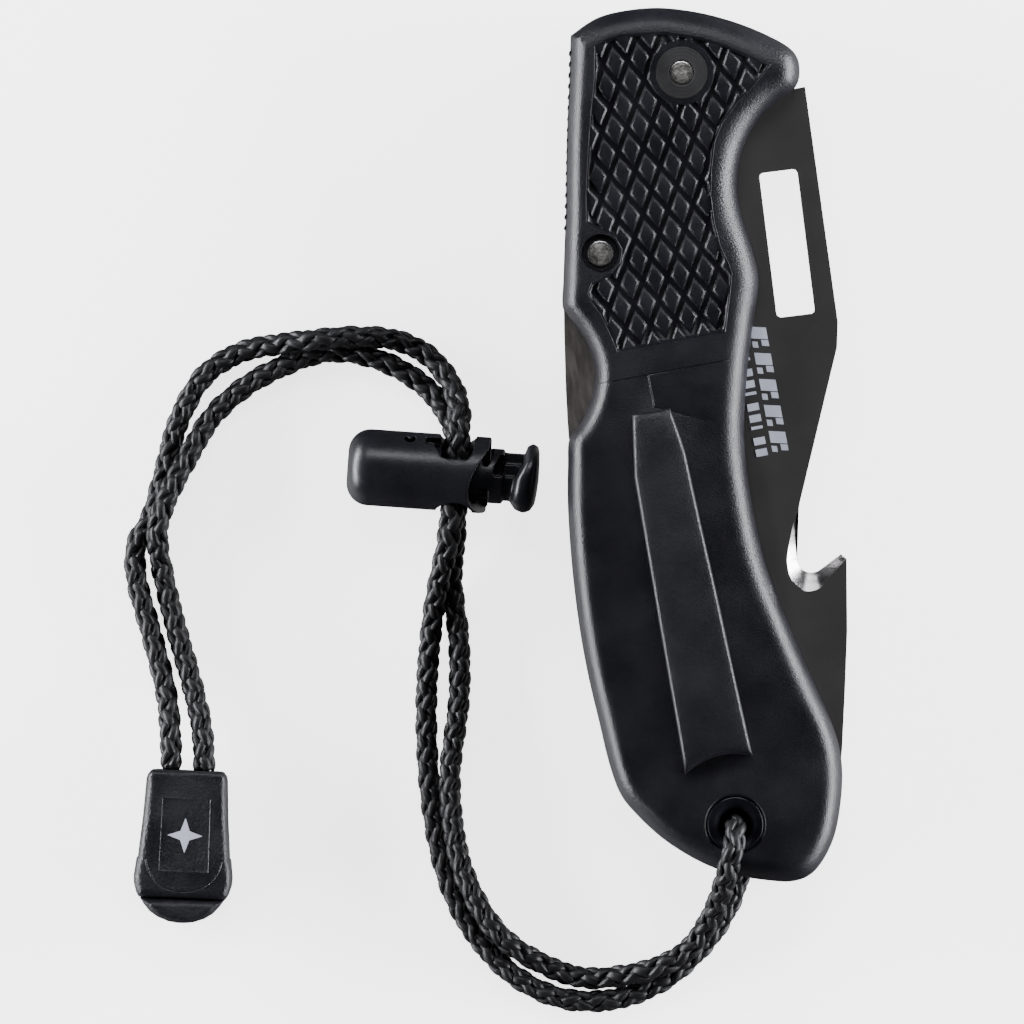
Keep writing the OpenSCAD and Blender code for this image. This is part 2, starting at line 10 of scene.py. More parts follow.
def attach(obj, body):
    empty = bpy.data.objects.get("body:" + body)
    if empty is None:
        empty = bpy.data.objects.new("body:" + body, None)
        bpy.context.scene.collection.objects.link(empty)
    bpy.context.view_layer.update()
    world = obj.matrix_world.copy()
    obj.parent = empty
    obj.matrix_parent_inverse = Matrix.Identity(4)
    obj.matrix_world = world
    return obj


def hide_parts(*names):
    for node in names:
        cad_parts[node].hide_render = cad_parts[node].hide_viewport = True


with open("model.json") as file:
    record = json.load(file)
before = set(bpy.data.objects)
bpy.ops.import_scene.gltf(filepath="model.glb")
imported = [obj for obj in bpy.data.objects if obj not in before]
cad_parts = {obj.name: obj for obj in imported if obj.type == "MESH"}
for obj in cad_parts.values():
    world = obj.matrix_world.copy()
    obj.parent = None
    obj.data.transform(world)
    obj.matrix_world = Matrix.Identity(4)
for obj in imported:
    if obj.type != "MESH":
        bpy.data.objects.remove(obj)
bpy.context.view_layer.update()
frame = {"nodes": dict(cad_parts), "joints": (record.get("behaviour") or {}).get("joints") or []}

# Lengths are millimetres measured from the blade pivot, as in the part's own source:
# +Y runs from the butt to the pivot end, +X to the blade side, +Z up from the surface.
MM = 0.001
JOINTS = {j["name"]: j for j in frame["joints"]}
PIVOT = np.array([*JOINTS["blade_pivot"]["pos_m"][:2], 0.0])
HANDLE_T = 13.0
MID_Z = HANDLE_T / 2
SLOT_LO, SLOT_HI = 4.8, 8.2
LOCK_AT = (-14.6, -21.1)
LANYARD_AT = (-10.9, -97.1)


def metres(points):
    """Points in millimetres from the pivot, as points in the frame's metres."""
    return np.asarray(points, float) * MM + PIVOT


def add_object(name, data):
    """A new object in the scene."""
    obj = bpy.data.objects.new(name, data)
    bpy.context.scene.collection.objects.link(obj)
    return obj


def map_range(tree, value, low, high, start=0.3, end=0.7):
    """A node's output, mapped from start..end to low..high."""
    r = tree.nodes.new("ShaderNodeMapRange")
    for key, number in zip(("From Min", "From Max", "To Min", "To Max"),
                           (start, end, low, high)):
        r.inputs[key].default_value = number
    tree.links.new(value, r.inputs["Value"])
    return r.outputs["Result"]


def maths(tree, operation, *values):
    """A maths node that is fed with other nodes' outputs and with numbers."""
    m = tree.nodes.new("ShaderNodeMath")
    m.operation = operation
    for value, socket in zip(values, m.inputs):
        if isinstance(value, float):
            socket.default_value = value
        else:
            tree.links.new(value, socket)
    return m.outputs[0]


# ---- Camera, lights and floor ----

VIEW_CENTRE = (-31.98, -51.98)
VIEW_WIDTH = 133.12
VIEW_TILT = -10.5
CAMERA_HEIGHT = 1400.0
FOCUS_Z = 8.5
SENSOR = 36.0
LIGHT_COLOUR = (0.95, 0.955, 1.0)
# Each light's place from the view's centre, its width and height, and its watts.
LIGHTS = {
    "light_left": ((-620, 60, 125), (900, 210), 25),
    "light_right": ((620, 60, 125), (900, 210), 25),
    "light_far": ((0, 700, 760), (700, 260), 6),
}
# The surroundings glow at both sides, below the horizon.
WORLD_DIM, WORLD_GLOW = 0.03, 1.6
GLOW_BELOW = (0.05, -0.25)
GLOW_ASIDE = (0.3, 0.85)
FLOOR_HALF, FLOOR_Z = 3.0, -0.00005
FLOOR_WHITE, FLOOR_ROUGH, FLOOR_GLOW = 0.95, 0.9, 2.8


def make_camera():
    data = bpy.data.cameras.new("camera")
    data.sensor_width = SENSOR
    data.lens = SENSOR * (CAMERA_HEIGHT - FOCUS_Z) / VIEW_WIDTH
    data.clip_start, data.clip_end = 0.01, 10
    camera = add_object("camera", data)
    camera.location = metres([*VIEW_CENTRE, CAMERA_HEIGHT])
    camera.rotation_euler = (0, 0, math.radians(VIEW_TILT))
    bpy.context.scene.camera = camera


def make_lights():
    """Soft boxes, each turned to the view's centre."""
    turn = Matrix.Rotation(math.radians(VIEW_TILT), 3, "Z")
    for name, (place, size, power) in LIGHTS.items():
        data = bpy.data.lights.new(name, "AREA")
        data.shape, data.size, data.size_y = "RECTANGLE", size[0] * MM, size[1] * MM
        data.energy, data.color = power, LIGHT_COLOUR
        light = add_object(name, data)
        offset = turn @ (Vector(place) * MM)
        light.location = Vector(metres([*VIEW_CENTRE, 0])) + offset
        light.rotation_euler = (-offset).to_track_quat("-Z", "Y").to_euler()


def make_world():
    world = bpy.data.worlds.new("world")
    world.use_nodes = True
    tree = world.node_tree
    back = tree.nodes["Background"]
    back.inputs["Color"].default_value = (1, 1, 1, 1)
    coords = tree.nodes.new("ShaderNodeTexCoord")
    axes = tree.nodes.new("ShaderNodeSeparateXYZ")
    tree.links.new(coords.outputs["Generated"], axes.inputs[0])
    aside = maths(tree, "ABSOLUTE", axes.outputs["X"])
    glow = maths(tree, "MULTIPLY", map_range(tree, axes.outputs["Z"], 0, 1, *GLOW_BELOW),
                 map_range(tree, aside, 0, 1, *GLOW_ASIDE))
    tree.links.new(map_range(tree, glow, WORLD_DIM, WORLD_GLOW, 0, 1),
                   back.inputs["Strength"])
    bpy.context.scene.world = world


def make_floor():
    mesh = bpy.data.meshes.new("floor")
    r, z = FLOOR_HALF, FLOOR_Z
    mesh.from_pydata([(-r, -r, z), (r, -r, z), (r, r, z), (-r, r, z)], [], [(0, 1, 2, 3)])
    floor = add_object("floor", mesh)
    m = bpy.data.materials.new("floor_white")
    m.use_nodes = True
    p = m.node_tree.nodes["Principled BSDF"]
    p.inputs["Base Color"].default_value = (FLOOR_WHITE, FLOOR_WHITE, FLOOR_WHITE, 1)
    p.inputs["Roughness"].default_value = FLOOR_ROUGH
    p.inputs["Emission Color"].default_value = (1, 1, 1, 1)
    p.inputs["Emission Strength"].default_value = FLOOR_GLOW
    mesh.materials.append(m)
    floor.visible_glossy = False


# ---- Materials ----

MATERIALS = {}
# The fine pattern's share of the mixed one, the wide one's, and the relief's height as
# a share of the grain.
FINE_SHARE, WIDE_SHARE = 0.6, 0.4
RELIEF = 0.4


def surface(name, colour, rough, metal=0.0, grain=0.3, bump=0.3, spread=0.25,
            stretch=(1, 1, 1), blotch=6.0, rough_spread=0.08, uv=False, speckle=0.0,
            shine=0.3):
    """A material with fine grain in its relief, colour and gloss. Grain and blotch are
    the sizes in millimetres of the fine and the wide pattern."""
    m = bpy.data.materials.new(name)
    m.use_nodes = True
    tree = m.node_tree
    p = tree.nodes["Principled BSDF"]
    p.inputs["Metallic"].default_value = metal
    p.inputs["Specular IOR Level"].default_value = shine
    coords = tree.nodes.new("ShaderNodeTexCoord")
    mapping = tree.nodes.new("ShaderNodeMapping")
    mapping.inputs["Scale"].default_value = stretch
    tree.links.new(coords.outputs["UV" if uv else "Object"], mapping.inputs["Vector"])

    def noise(size, detail):
        n = tree.nodes.new("ShaderNodeTexNoise")
        n.inputs["Scale"].default_value = 1 / (size * MM)
        n.inputs["Detail"].default_value = detail
        tree.links.new(mapping.outputs["Vector"], n.inputs["Vector"])
        return n.outputs["Fac"]

    fine, wide = noise(grain, 3), noise(blotch, 4)
    both = maths(tree, "MULTIPLY_ADD", fine, FINE_SHARE, map_range(tree, wide, 0, WIDE_SHARE))
    mix = tree.nodes.new("ShaderNodeMix")
    mix.data_type = "RGBA"
    mix.inputs[6].default_value = [c * (1 - spread) for c in colour] + [1]
    mix.inputs[7].default_value = [min(1, c * (1 + spread) + speckle) for c in colour] + [1]
    tree.links.new(map_range(tree, both, 0, 1), mix.inputs[0])
    tree.links.new(mix.outputs[2], p.inputs["Base Color"])
    tree.links.new(map_range(tree, both, rough - rough_spread, rough + rough_spread),
                   p.inputs["Roughness"])
    relief = tree.nodes.new("ShaderNodeBump")
    relief.inputs["Strength"].default_value = bump
    relief.inputs["Distance"].default_value = grain * MM * RELIEF
    tree.links.new(fine, relief.inputs["Height"])
    tree.links.new(relief.outputs["Normal"], p.inputs["Normal"])
    MATERIALS[name] = m


surface("handle_plastic", (0.004, 0.004, 0.006), 0.35, grain=0.2, bump=0.85,
        rough_spread=0.05, shine=0.36)
surface("pad_plastic", (0.005, 0.005, 0.007), 0.36, grain=0.24, bump=0.5, shine=0.22)
surface("clip_plastic", (0.006, 0.006, 0.008), 0.37, grain=0.2, bump=0.85, spread=0.15,
        rough_spread=0.05, shine=0.32)
surface("dark_plastic", (0.005, 0.005, 0.006), 0.4, grain=0.4)
surface("lock_plastic", (0.006, 0.006, 0.008), 0.33, grain=0.35, bump=0.14,
        rough_spread=0.05)
surface("end_plastic", (0.006, 0.006, 0.008), 0.4, grain=0.26, bump=1.0,
        rough_spread=0.1, speckle=0.004)
surface("eyelet_plastic", (0.004, 0.004, 0.006), 0.2, grain=0.8, bump=0.05)
surface("blade_steel", (0.026, 0.0245, 0.024), 0.5, 0.2, grain=0.12, bump=0.15,
        spread=0.12, blotch=9, rough_spread=0.03)
surface("ground_steel", (0.38, 0.37, 0.37), 0.22, 1.0, grain=0.1, bump=0.1,
        stretch=(1, 8, 1), rough_spread=0.04)
surface("bar_steel", (0.13, 0.12, 0.112), 0.4, 0.8, grain=0.15, bump=0.2, spread=0.15,
        stretch=(6, 1, 1), blotch=4)
surface("pin_steel", (0.24, 0.235, 0.22), 0.42, 1.0, bump=0.35, spread=0.22, blotch=0.9,
        rough_spread=0.1)
surface("rim_steel", (0.72, 0.71, 0.69), 0.26, 1.0, grain=0.2, bump=0.15)
surface("sleeve_steel", (0.5, 0.5, 0.5), 0.3, 1.0, grain=0.2, bump=0.1)
surface("bush_metal", (0.02, 0.02, 0.02), 0.42, 0.2, grain=0.15, bump=0.2)
surface("washer_bronze", (0.45, 0.3, 0.12), 0.4, 1.0, grain=0.2, bump=0.2)
surface("spring_steel", (0.45, 0.47, 0.5), 0.3, 1.0, grain=0.2, bump=0.1)
surface("cord_nylon", (0.006, 0.006, 0.0065), 0.42, grain=0.5, bump=0.5,
        stretch=(0.12, 1.4, 1), blotch=3, uv=True, rough_spread=0.06, shine=0.22)
surface("cord_core", (0.002, 0.002, 0.002), 0.8, grain=0.4)
surface("print_ink", (0.36, 0.38, 0.44), 0.5, grain=0.15, bump=0.1, spread=0.15)

# ---- Building blocks ----


# A vertex's own normal holds on the faces that it leans from less than this cosine.
NORMAL_FITS = 0.3


def piece(name, verts, faces, body, kind, angle=35, slot="", second="", directions=None):
    """A mesh in millimetres from the pivot becomes a piece that rides on a body and
    stands for the CAD node of its name. Kind and second name its materials; edges over
    the angle are sharp. The directions are its vertices' normals, zero where the faces
    decide."""
    mesh = bpy.data.meshes.new(name)
    mesh.from_pydata(metres(verts).tolist(), [], [list(map(int, f)) for f in faces])
    for material in filter(None, (kind, second)):
        mesh.materials.append(MATERIALS[material])
    mesh.shade_smooth()
    mesh.set_sharp_from_angle(angle=math.radians(angle))
    if directions is not None:
        given = directions[corner_vertices(mesh)]
        sides = np.array([tuple(q.normal) for q in mesh.polygons])
        sides = np.repeat(sides, [q.loop_total for q in mesh.polygons], 0)
        given[(given * sides).sum(1) < NORMAL_FITS] = 0
        mesh.normals_split_custom_set(given.tolist())
    is_node = name in frame["nodes"]
    obj = add_object(name + ("_shape" if is_node else ""), mesh)
    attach(obj, body)
    if is_node:
        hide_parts(name)
    return obj


def corner_vertices(mesh):
    """The vertex of each face corner."""
    index = np.empty(len(mesh.loops), int)
    mesh.loops.foreach_get("vertex_index", index)
    return index


def middles(obj, verts):
    """The middle of each face, in the units of the vertices given."""
    return np.array([np.mean([verts[i] for i in q.vertices], 0) for q in obj.data.polygons])


def paint(obj, faces):
    """Gives the faces marked the piece's second material."""
    for face, marked in zip(obj.data.polygons, faces):
        face.material_index = int(marked)


def smooth(points, samples):
    """A smooth curve through the points, with so many samples to each stretch."""
    p = np.asarray(points, float)
    t = (np.arange(samples) / samples)[:, None]
    out = []
    for i in range(len(p) - 1):
        a, b, c, d = p[max(i - 1, 0)], p[i], p[i + 1], p[min(i + 2, len(p) - 1)]
        out.append(0.5 * (2 * b + (c - a) * t + (2 * a - 5 * b + 4 * c - d) * t ** 2
                          + (3 * b - a - 3 * c + d) * t ** 3))
    return np.vstack(out + [p[-1:]])


def circle(centre, radius, count=48, start=0.0, end=360.0):
    """Points round a circle or a part of it, in degrees, without the end."""
    a = np.radians(start + (end - start) * np.arange(count) / count)
    return np.array(centre)[:2] + radius * np.column_stack([np.cos(a), np.sin(a)])


def segments(loop, closed=True):
    """The two ends of each side of a loop or a line."""
    loop = np.asarray(loop, float)
    return (loop, np.roll(loop, -1, 0)) if closed else (loop[:-1], loop[1:])


def distance(points, loop, closed=True):
    """Each point's distance to a polyline, and the place along it that is nearest."""
    a, b = segments(loop, closed)
    ab = b - a
    best = np.full(len(points), 1e9)
    where = np.zeros(len(points))
    for k in range(0, len(a), 64):
        run = ab[k:k + 64]
        p = points[:, None] - a[None, k:k + 64]
        t = np.clip((p * run).sum(2) / np.maximum((run ** 2).sum(1), 1e-12), 0, 1)
        d = np.linalg.norm(p - t[..., None] * run, axis=2)
        i = d.argmin(1)
        rows = np.arange(len(points))
        closer = d[rows, i] < best
        best = np.where(closer, d[rows, i], best)
        where = np.where(closer, k + i + t[rows, i], where)
    return best, where


def inside(points, loop):
    """Which points lie inside a closed loop."""
    a, b = segments(loop)
    x, y = points[:, 0][:, None], points[:, 1][:, None]
    crosses = (a[:, 1] > y) != (b[:, 1] > y)
    slope = (b[:, 0] - a[:, 0]) / np.where(b[:, 1] == a[:, 1], 1e-12, b[:, 1] - a[:, 1])
    return ((crosses & (x < a[:, 0] + (y - a[:, 1]) * slope)).sum(1) % 2) == 1


def normals(loop):
    """Unit vectors to the left of the direction of travel at each point of a loop."""
    step = np.roll(loop, -1, 0) - np.roll(loop, 1, 0)
    step /= np.maximum(np.linalg.norm(step, axis=1, keepdims=True), 1e-9)
    return np.column_stack([-step[:, 1], step[:, 0]])


def inward(loop):
    """Unit vectors to the inside at each point of a loop."""
    side = normals(loop)
    probe = loop[3:4] + side[3:4] * 0.05
    return side if inside(probe, loop)[0] else -side


def subdivided(loop, step):
    """A closed loop with points added, about a step apart."""
    fine = []
    for a, b in zip(*segments(loop)):
        count = max(1, round(np.linalg.norm(b - a) / step))
        fine += [a + (b - a) * i / count for i in range(count)]
    return np.array(fine)


def round_over(d, reach):
    """How far a quarter-round edge has fallen, as a share, at a distance in from it."""
    t = np.clip(d / reach, 0, 1)
    return 1 - np.sqrt(1 - (1 - t) ** 2)


def slab(outline, holes, top, bottom, loops=(), lines=(), points=()):
    """A closed plate: top and bottom give the heights over the plan, and the loops and
    lines are creases in it. Returns its vertices and triangles."""
    verts, edges = [], []

    def add(line, closed):
        n, m = len(verts), len(line)
        verts.extend(map(tuple, line))
        edges.extend((n + i, n + (i + 1) % m) for i in range(m if closed else m - 1))

    for loop in [outline, *holes, *loops]:
        add(loop, True)
    for line in lines:
        add(line, False)
    verts.extend(map(tuple, points))
    out = delaunay_2d_cdt([Vector((float(x), float(y))) for x, y in verts], edges, [], 0, 1e-5)
    plan = np.array([tuple(v) for v in out[0]])
    tris = np.array([list(f) for f in out[2]])
    middle = plan[tris].mean(1)
    keep = inside(middle, np.asarray(outline))
    for hole in holes:
        keep &= ~inside(middle, np.asarray(hole))
    tris = tris[keep]
    a, b, c = plan[tris[:, 0]], plan[tris[:, 1]], plan[tris[:, 2]]
    area = (b[:, 0] - a[:, 0]) * (c[:, 1] - a[:, 1]) - (b[:, 1] - a[:, 1]) * (c[:, 0] - a[:, 0])
    tris[area < 0] = tris[area < 0][:, ::-1]
    used, index = np.unique(tris, return_inverse=True)
    tris, plan = index.reshape(tris.shape), plan[used]
    n = len(plan)
    seen = dict.fromkeys((t[i], t[(i + 1) % 3]) for t in tris for i in range(3))
    rim = [(i, j) for i, j in seen if (j, i) not in seen]
    walls = [(j, i, i + n, j + n) for i, j in rim]
    verts = np.vstack([np.column_stack([plan, side(plan)]) for side in (top, bottom)])
    return verts, [*tris, *(tris[:, ::-1] + n), *walls]


def lathe(profile, centre, count=64):
    """A profile of (radius, height) turned round an upright axis; a profile that doesn't
    end on the axis is closed."""
    profile = np.asarray(profile, float)
    a = 2 * np.pi * np.arange(count) / count
    verts, rings = [], []
    for r, z in profile:
        if r < 1e-6:
            rings.append([len(verts)])
            verts.append((centre[0], centre[1], z))
        else:
            rings.append(list(range(len(verts), len(verts) + count)))
            verts.extend((centre[0] + r * math.cos(t), centre[1] + r * math.sin(t), z) for t in a)
    faces = []
    closed = profile[0][0] > 1e-6 and profile[-1][0] > 1e-6
    pairs = list(zip(rings, rings[1:])) + ([(rings[-1], rings[0])] if closed else [])
    for one, two in pairs:
        for k in range(count):
            m = (k + 1) % count
            corners = (one[k % len(one)], one[m % len(one)], two[m % len(two)],
                       two[k % len(two)])
            faces.append(tuple(dict.fromkeys(corners)))
    return np.array(verts), faces


def arc(centre, radius, start, end, count):
    """Points along an arc, in degrees, with its end."""
    a = np.radians(np.linspace(start, end, count + 1))
    return [(centre[0] + radius * math.cos(t), centre[1] + radius * math.sin(t)) for t in a]


def solid(one, two, flipped=False):
    """The solid between two equal rings of points."""
    n = len(one)
    caps = [tuple(range(n))[::-1], tuple(range(n, 2 * n))]
    around = [(k, (k + 1) % n, n + (k + 1) % n, n + k) for k in range(n)]
    if flipped:
        caps = [q[::-1] for q in caps]
        around = [(a, d, c, b) for a, b, c, d in around]
    return np.vstack([one, two]), caps + around


def at_height(ring, z):
    """A ring in the plan as points at a height."""
    return np.column_stack([ring, np.full(len(ring), z)])


def placed(points, centre, angle, lift=0.0):
    """Points in a part's own axes, as points from the pivot."""
    x, y, z = np.asarray(points, float).T
    c, s = math.cos(angle), math.sin(angle)
    return np.column_stack([centre[0] + x * c - y * s, centre[1] + x * s + y * c, lift + z])


# ---- Lanyard ----

CORD_D = 3.0
FRONT_ROUTE = [
    [-10.9, -97.1, 6.5], [-10.9, -97.1, 11.3], [-11.1, -98.2, 13.5], [-11.9, -100.4, 14.7],
    [-12.8, -102.4, 14.1], [-13.6, -104.1, 12.2], [-14.8, -106.5, 8.8],
    [-16.7, -109.3, 5.8], [-19.7, -112.2, 4.4], [-24.2, -113.8, 4.1], [-29.4, -114.1, 2.5],
    [-34.2, -113.4, 1.5], [-38.6, -110.9, 1.5], [-42.8, -107, 3], [-45.5, -101.9, 3.4],
    [-47, -94.5, 3.4], [-46.3, -84.8, 2.7], [-43.3, -75, 1.5], [-41.9, -67.5, 1.5],
    [-41.6, -62.6, 1.5], [-41.2, -58.6, 2.4], [-40, -54, 3.62], [-38.2, -45.7, 3.62],
    [-37.4, -40.6, 3.6], [-38, -37.6, 2.6], [-40, -34, 1.5], [-43.6, -30.5, 1.5],
    [-48, -28, 1.5], [-52.6, -27, 1.5], [-58, -27.8, 1.5], [-63.2, -29.5, 1.5],
    [-68.2, -32.6, 1.6], [-72.3, -37.3, 3.2], [-75.8, -41.9, 4.3], [-77.9, -46, 4],
    [-78.3, -51, 1.5], [-77.9, -58.6, 1.5], [-77.2, -66, 1.9], [-76.9, -72.4, 3.8],
    [-77.55, -77.7, 4],
]
BACK_ROUTE = [
    [-10.9, -97.1, 6.5], [-10.9, -97.1, 4.9], [-10.9, -98.4, 2.4], [-10.9, -101, 1.5],
    [-11.6, -104.4, 1.5], [-13.9, -108.2, 1.5], [-17.6, -112, 1.5], [-23.6, -115.7, 1.5],
    [-30.4, -117, 1.5], [-37, -115.7, 1.5], [-42.3, -112, 1.5], [-45.9, -107, 1.5],
    [-48.3, -101, 1.5], [-49.3, -94, 1.5], [-49.1, -85.5, 1.5], [-48, -77, 1.5],
    [-46.4, -69.6, 1.5], [-44.5, -63.2, 2.4], [-42.7, -58.4, 4.8], [-40.8, -54, 6.38],
    [-38.2, -45.7, 6.38], [-36.9, -40.5, 6.38], [-36.3, -37.3, 5.2], [-36.9, -33.6, 2.8],
    [-39.3, -29.6, 1.7], [-43.4, -26.9, 2.4], [-48.9, -25.6, 3.6], [-53.6, -25.2, 3.9],
    [-58, -24.9, 2.6], [-63, -25, 1.5], [-68.3, -27.2, 1.5], [-72.6, -32.3, 1.5],
    [-75.6, -38.4, 1.5], [-78.4, -44, 1.5], [-81, -47.3, 1.5], [-81.8, -52, 1.5],
    [-81.2, -59, 1.5], [-80.7, -66.5, 1.9], [-81, -71.9, 3.8], [-81.75, -76.7, 4],
]
# The cord lock's centre in the plan and its turn.
LOCK_C = np.array([-38.2, -45.7])
LOCK_A = math.radians(-14.5)
# The braid: its pitch, the step along it, the strands each way, and the strands' mean
# distance from the middle with the rise and fall where they cross.
BRAID_PITCH = 14
BRAID_STEP = 0.29
BRAID_HALF = 4
BRAID_R, BRAID_WAVE = 0.83, 0.22
CROSSING = 1.6
CORE_R = 0.85
# The uneven twist: how far in radians, and over what length.
TWIST_DRIFT = [(0.5, 17), (0.25, 6.3)]
STRAND_HIGH, STRAND_WIDE = 0.48, 0.64
STRAND_SIDES = 8
# The lock squeezes the cords this near to its centre, over this length.
SQUEEZE_NEAR, SQUEEZE_OVER = 8, 4
SQUEEZE_WIDE, SQUEEZE_LOW = 0.08, 0.16
CORD_FLOOR = 0.03


def resample(path, step):
    length = np.r_[0, np.cumsum(np.linalg.norm(np.diff(path, axis=0), axis=1))]
    s = np.linspace(0, length[-1], max(2, round(length[-1] / step)))
    return np.column_stack([np.interp(s, length, path[:, k]) for k in range(3)]), s


def frames(path):
    """Two directions square to a path at each of its points, carried along it."""
    along = np.gradient(path, axis=0)
    along /= np.linalg.norm(along, axis=1, keepdims=True)
    one = np.zeros_like(path)
    v = np.array([1.0, 0, 0])
    for i, d in enumerate(along):
        v = v - d * (v @ d)
        v /= np.linalg.norm(v)
        one[i] = v
    return one, np.cross(along, one)


def tube_faces(count, base):
    """The faces of a closed tube of rings, with its first vertex at the base."""
    sides = STRAND_SIDES
    i = np.arange(count - 1)[:, None] * sides + base
    k = np.arange(sides)[None]
    m = (k + 1) % sides
    quads = np.stack([i + k, i + m, i + sides + m, i + sides + k], -1).reshape(-1, 4)
    return [*quads, base + np.arange(sides)[::-1], base + (count - 1) * sides + k[0]]


def unit(vectors):
    return vectors / np.linalg.norm(vectors, axis=1, keepdims=True)


def braid(name, route, seed):
    """Eight strands round a dark core: four wind each way and pass over and under."""
    rng = np.random.default_rng(seed)
    path, s = resample(smooth(route, 12), BRAID_STEP)
    one, two = frames(path)
    count, sides = len(path), STRAND_SIDES
    drift = sum(size * np.sin(s / length + (k + 1) * seed)
                for k, (size, length) in enumerate(TWIST_DRIFT))
    theta = 2 * np.pi * s / BRAID_PITCH
    ring = 2 * np.pi * (np.arange(sides) + 0.5) / sides
    verts, faces, uvs = [], [], []
    for strand in range(2 * BRAID_HALF):
        way = 1 if strand < BRAID_HALF else -1
        phi = 2 * np.pi * (strand % BRAID_HALF) / BRAID_HALF + way * theta + drift
        wave = way * np.cos(BRAID_HALF * theta)
        wave = np.tanh(CROSSING * wave) / np.tanh(CROSSING)
        swell = 1 + 0.05 * np.sin(s / 3.1 + 5 * rng.random()) + 0.04 * rng.standard_normal()
        out = np.cos(phi)[:, None] * one + np.sin(phi)[:, None] * two
        centre = path + (BRAID_R + BRAID_WAVE * wave)[:, None] * out
        run = unit(np.gradient(centre, axis=0))
        up = unit(out - run * (out * run).sum(1)[:, None])
        side = np.cross(run, up)
        strand_rings = (centre[:, None]
                        + STRAND_HIGH * np.sin(ring)[None, :, None] * up[:, None]
                        + ((STRAND_WIDE * swell)[:, None] * np.cos(ring))[..., None]
                        * side[:, None])
        verts.append(strand_rings.reshape(-1, 3))
        faces += tube_faces(count, strand * count * sides)
        uvs.append(np.column_stack([np.repeat(s * MM + strand * 0.31, sides),
                                    np.tile(ring * 0.5 * MM, count)]))
    a = 2 * np.pi * np.arange(sides) / sides
    core = path[:, None] + CORE_R * (np.cos(a)[None, :, None] * one[:, None]
                                     + np.sin(a)[None, :, None] * two[:, None])
    verts = np.vstack(verts + [core.reshape(-1, 3)])
    faces += tube_faces(count, 2 * BRAID_HALF * count * sides)
    uvs = np.vstack(uvs + [np.zeros((count * sides, 2))])

    middle = np.tile(np.repeat(path, sides, 0), (2 * BRAID_HALF + 1, 1))
    squeeze = np.clip(1 - (np.linalg.norm(middle[:, :2] - LOCK_C, axis=1) - SQUEEZE_NEAR)
                      / SQUEEZE_OVER, 0, 1)
    wider = 1 + SQUEEZE_WIDE * squeeze
    verts = middle + (verts - middle) * np.column_stack([wider, wider,
                                                         1 - SQUEEZE_LOW * squeeze])
    low = verts[:, 2] < CORD_FLOOR
    verts[low, 2] = CORD_FLOOR + 0.02 * (verts[low, 2] - CORD_FLOOR)
    verts[:, 2] = np.maximum(verts[:, 2], 0.005)
    obj = piece(name, verts, faces, "handle", "cord_nylon", 180)
    layer = obj.data.uv_layers.new(name="along")
    layer.data.foreach_set("uv", uvs[corner_vertices(obj.data)].ravel())
    line = metres(path)
    length = float(np.linalg.norm(np.diff(line, axis=0), axis=1).sum())
    return obj, line, length


make_camera()
make_lights()
make_world()
make_floor()
cords = [braid("front_cord", FRONT_ROUTE, 1), braid("back_cord", BACK_ROUTE, 2)]

# ---- Scales ----

# The handle's outline down each side, and how far in its edge is rounded at each point.
SIDE_BLADE = [
    [-13.2, 7.5], [-9.5, 9.1], [-5.5, 9.4], [-1, 8.9], [4, 7.3], [8.7, 5], [12.6, 2.4],
    [14.8, 0.3], [15.3, -1.9], [14.3, -4.4], [10.9, -6.1], [8.2, -8.2], [6, -11.2],
    [4.6, -15], [4.3, -19], [4.9, -23.7], [5, -28.2], [3.4, -33.2], [1.3, -40],
    [-0.5, -47.6], [-1.1, -55.5], [-0.9, -64], [0.4, -71.5], [2.3, -80], [4, -87],
    [4.2, -92], [3.1, -97], [1.2, -101.6], [-1.8, -105], [-5, -105.8], [-9, -104.8]
]
SIDE_SPINE = [
    [-13.2, 7.5], [-14.4, 1.9], [-15.6, -3.2], [-16.9, -9.3], [-18, -15],
    [-18.8, -18.5], [-19.9, -23.5], [-20.6, -26.7], [-20.1, -28.4], [-19.1, -30.4],
    [-18.3, -32.8], [-18, -35.4], [-18.5, -37.8], [-19.5, -40], [-20.9, -42], [-22.9, -44],
    [-23.7, -47.3], [-24.6, -52], [-25.3, -57.5], [-25.8, -63], [-26.1, -69],
    [-26.1, -75], [-25.8, -81], [-25.5, -86.5], [-24.8, -90.6], [-23.2, -93.6],
    [-20.6, -97.1], [-17.5, -100.1], [-14.5, -102.3], [-11.7, -103.8], [-9, -104.8]
]
ROUND_BLADE = [2.8, 3.2, 3.2, 3.2, 3.4, 3.6, 3.6, 3.4, 3.2, 3.2, 3.6, 3.8, 3.9, 3.9, 3.8,
               3.7, 3.6, 3.5, 3.4, 3.3, 3.2, 3.1, 3, 2.9, 2.8, 2.8, 2.7, 2.7, 2.7, 2.7, 2.7]
ROUND_SPINE = [2.8] + [2.3] * 22 + [2.3, 2.4, 2.5, 2.6, 2.7, 2.7, 2.7, 2.7]
ROUND_DROP = 3.7
SAMPLES = 6
one_side = smooth(np.column_stack([SIDE_SPINE, ROUND_SPINE]), SAMPLES)
other_side = smooth(np.column_stack([SIDE_BLADE, ROUND_BLADE]), SAMPLES)[1:-1][::-1]
both_sides = np.vstack([one_side, other_side])
HANDLE, REACH = both_sides[:, :2], both_sides[:, 2]


def rounding_reach(points):
    """How far in the rounding of the nearest edge goes."""
    _, where = distance(points, HANDLE)
    return np.interp(where, np.arange(len(REACH) + 1), np.r_[REACH, REACH[0]])


def rounding(points):
    """How far the rounded edge lies below the flat face at each point of the plan."""
    d, _ = distance(points, HANDLE)
    return ROUND_DROP * round_over(d, rounding_reach(points))


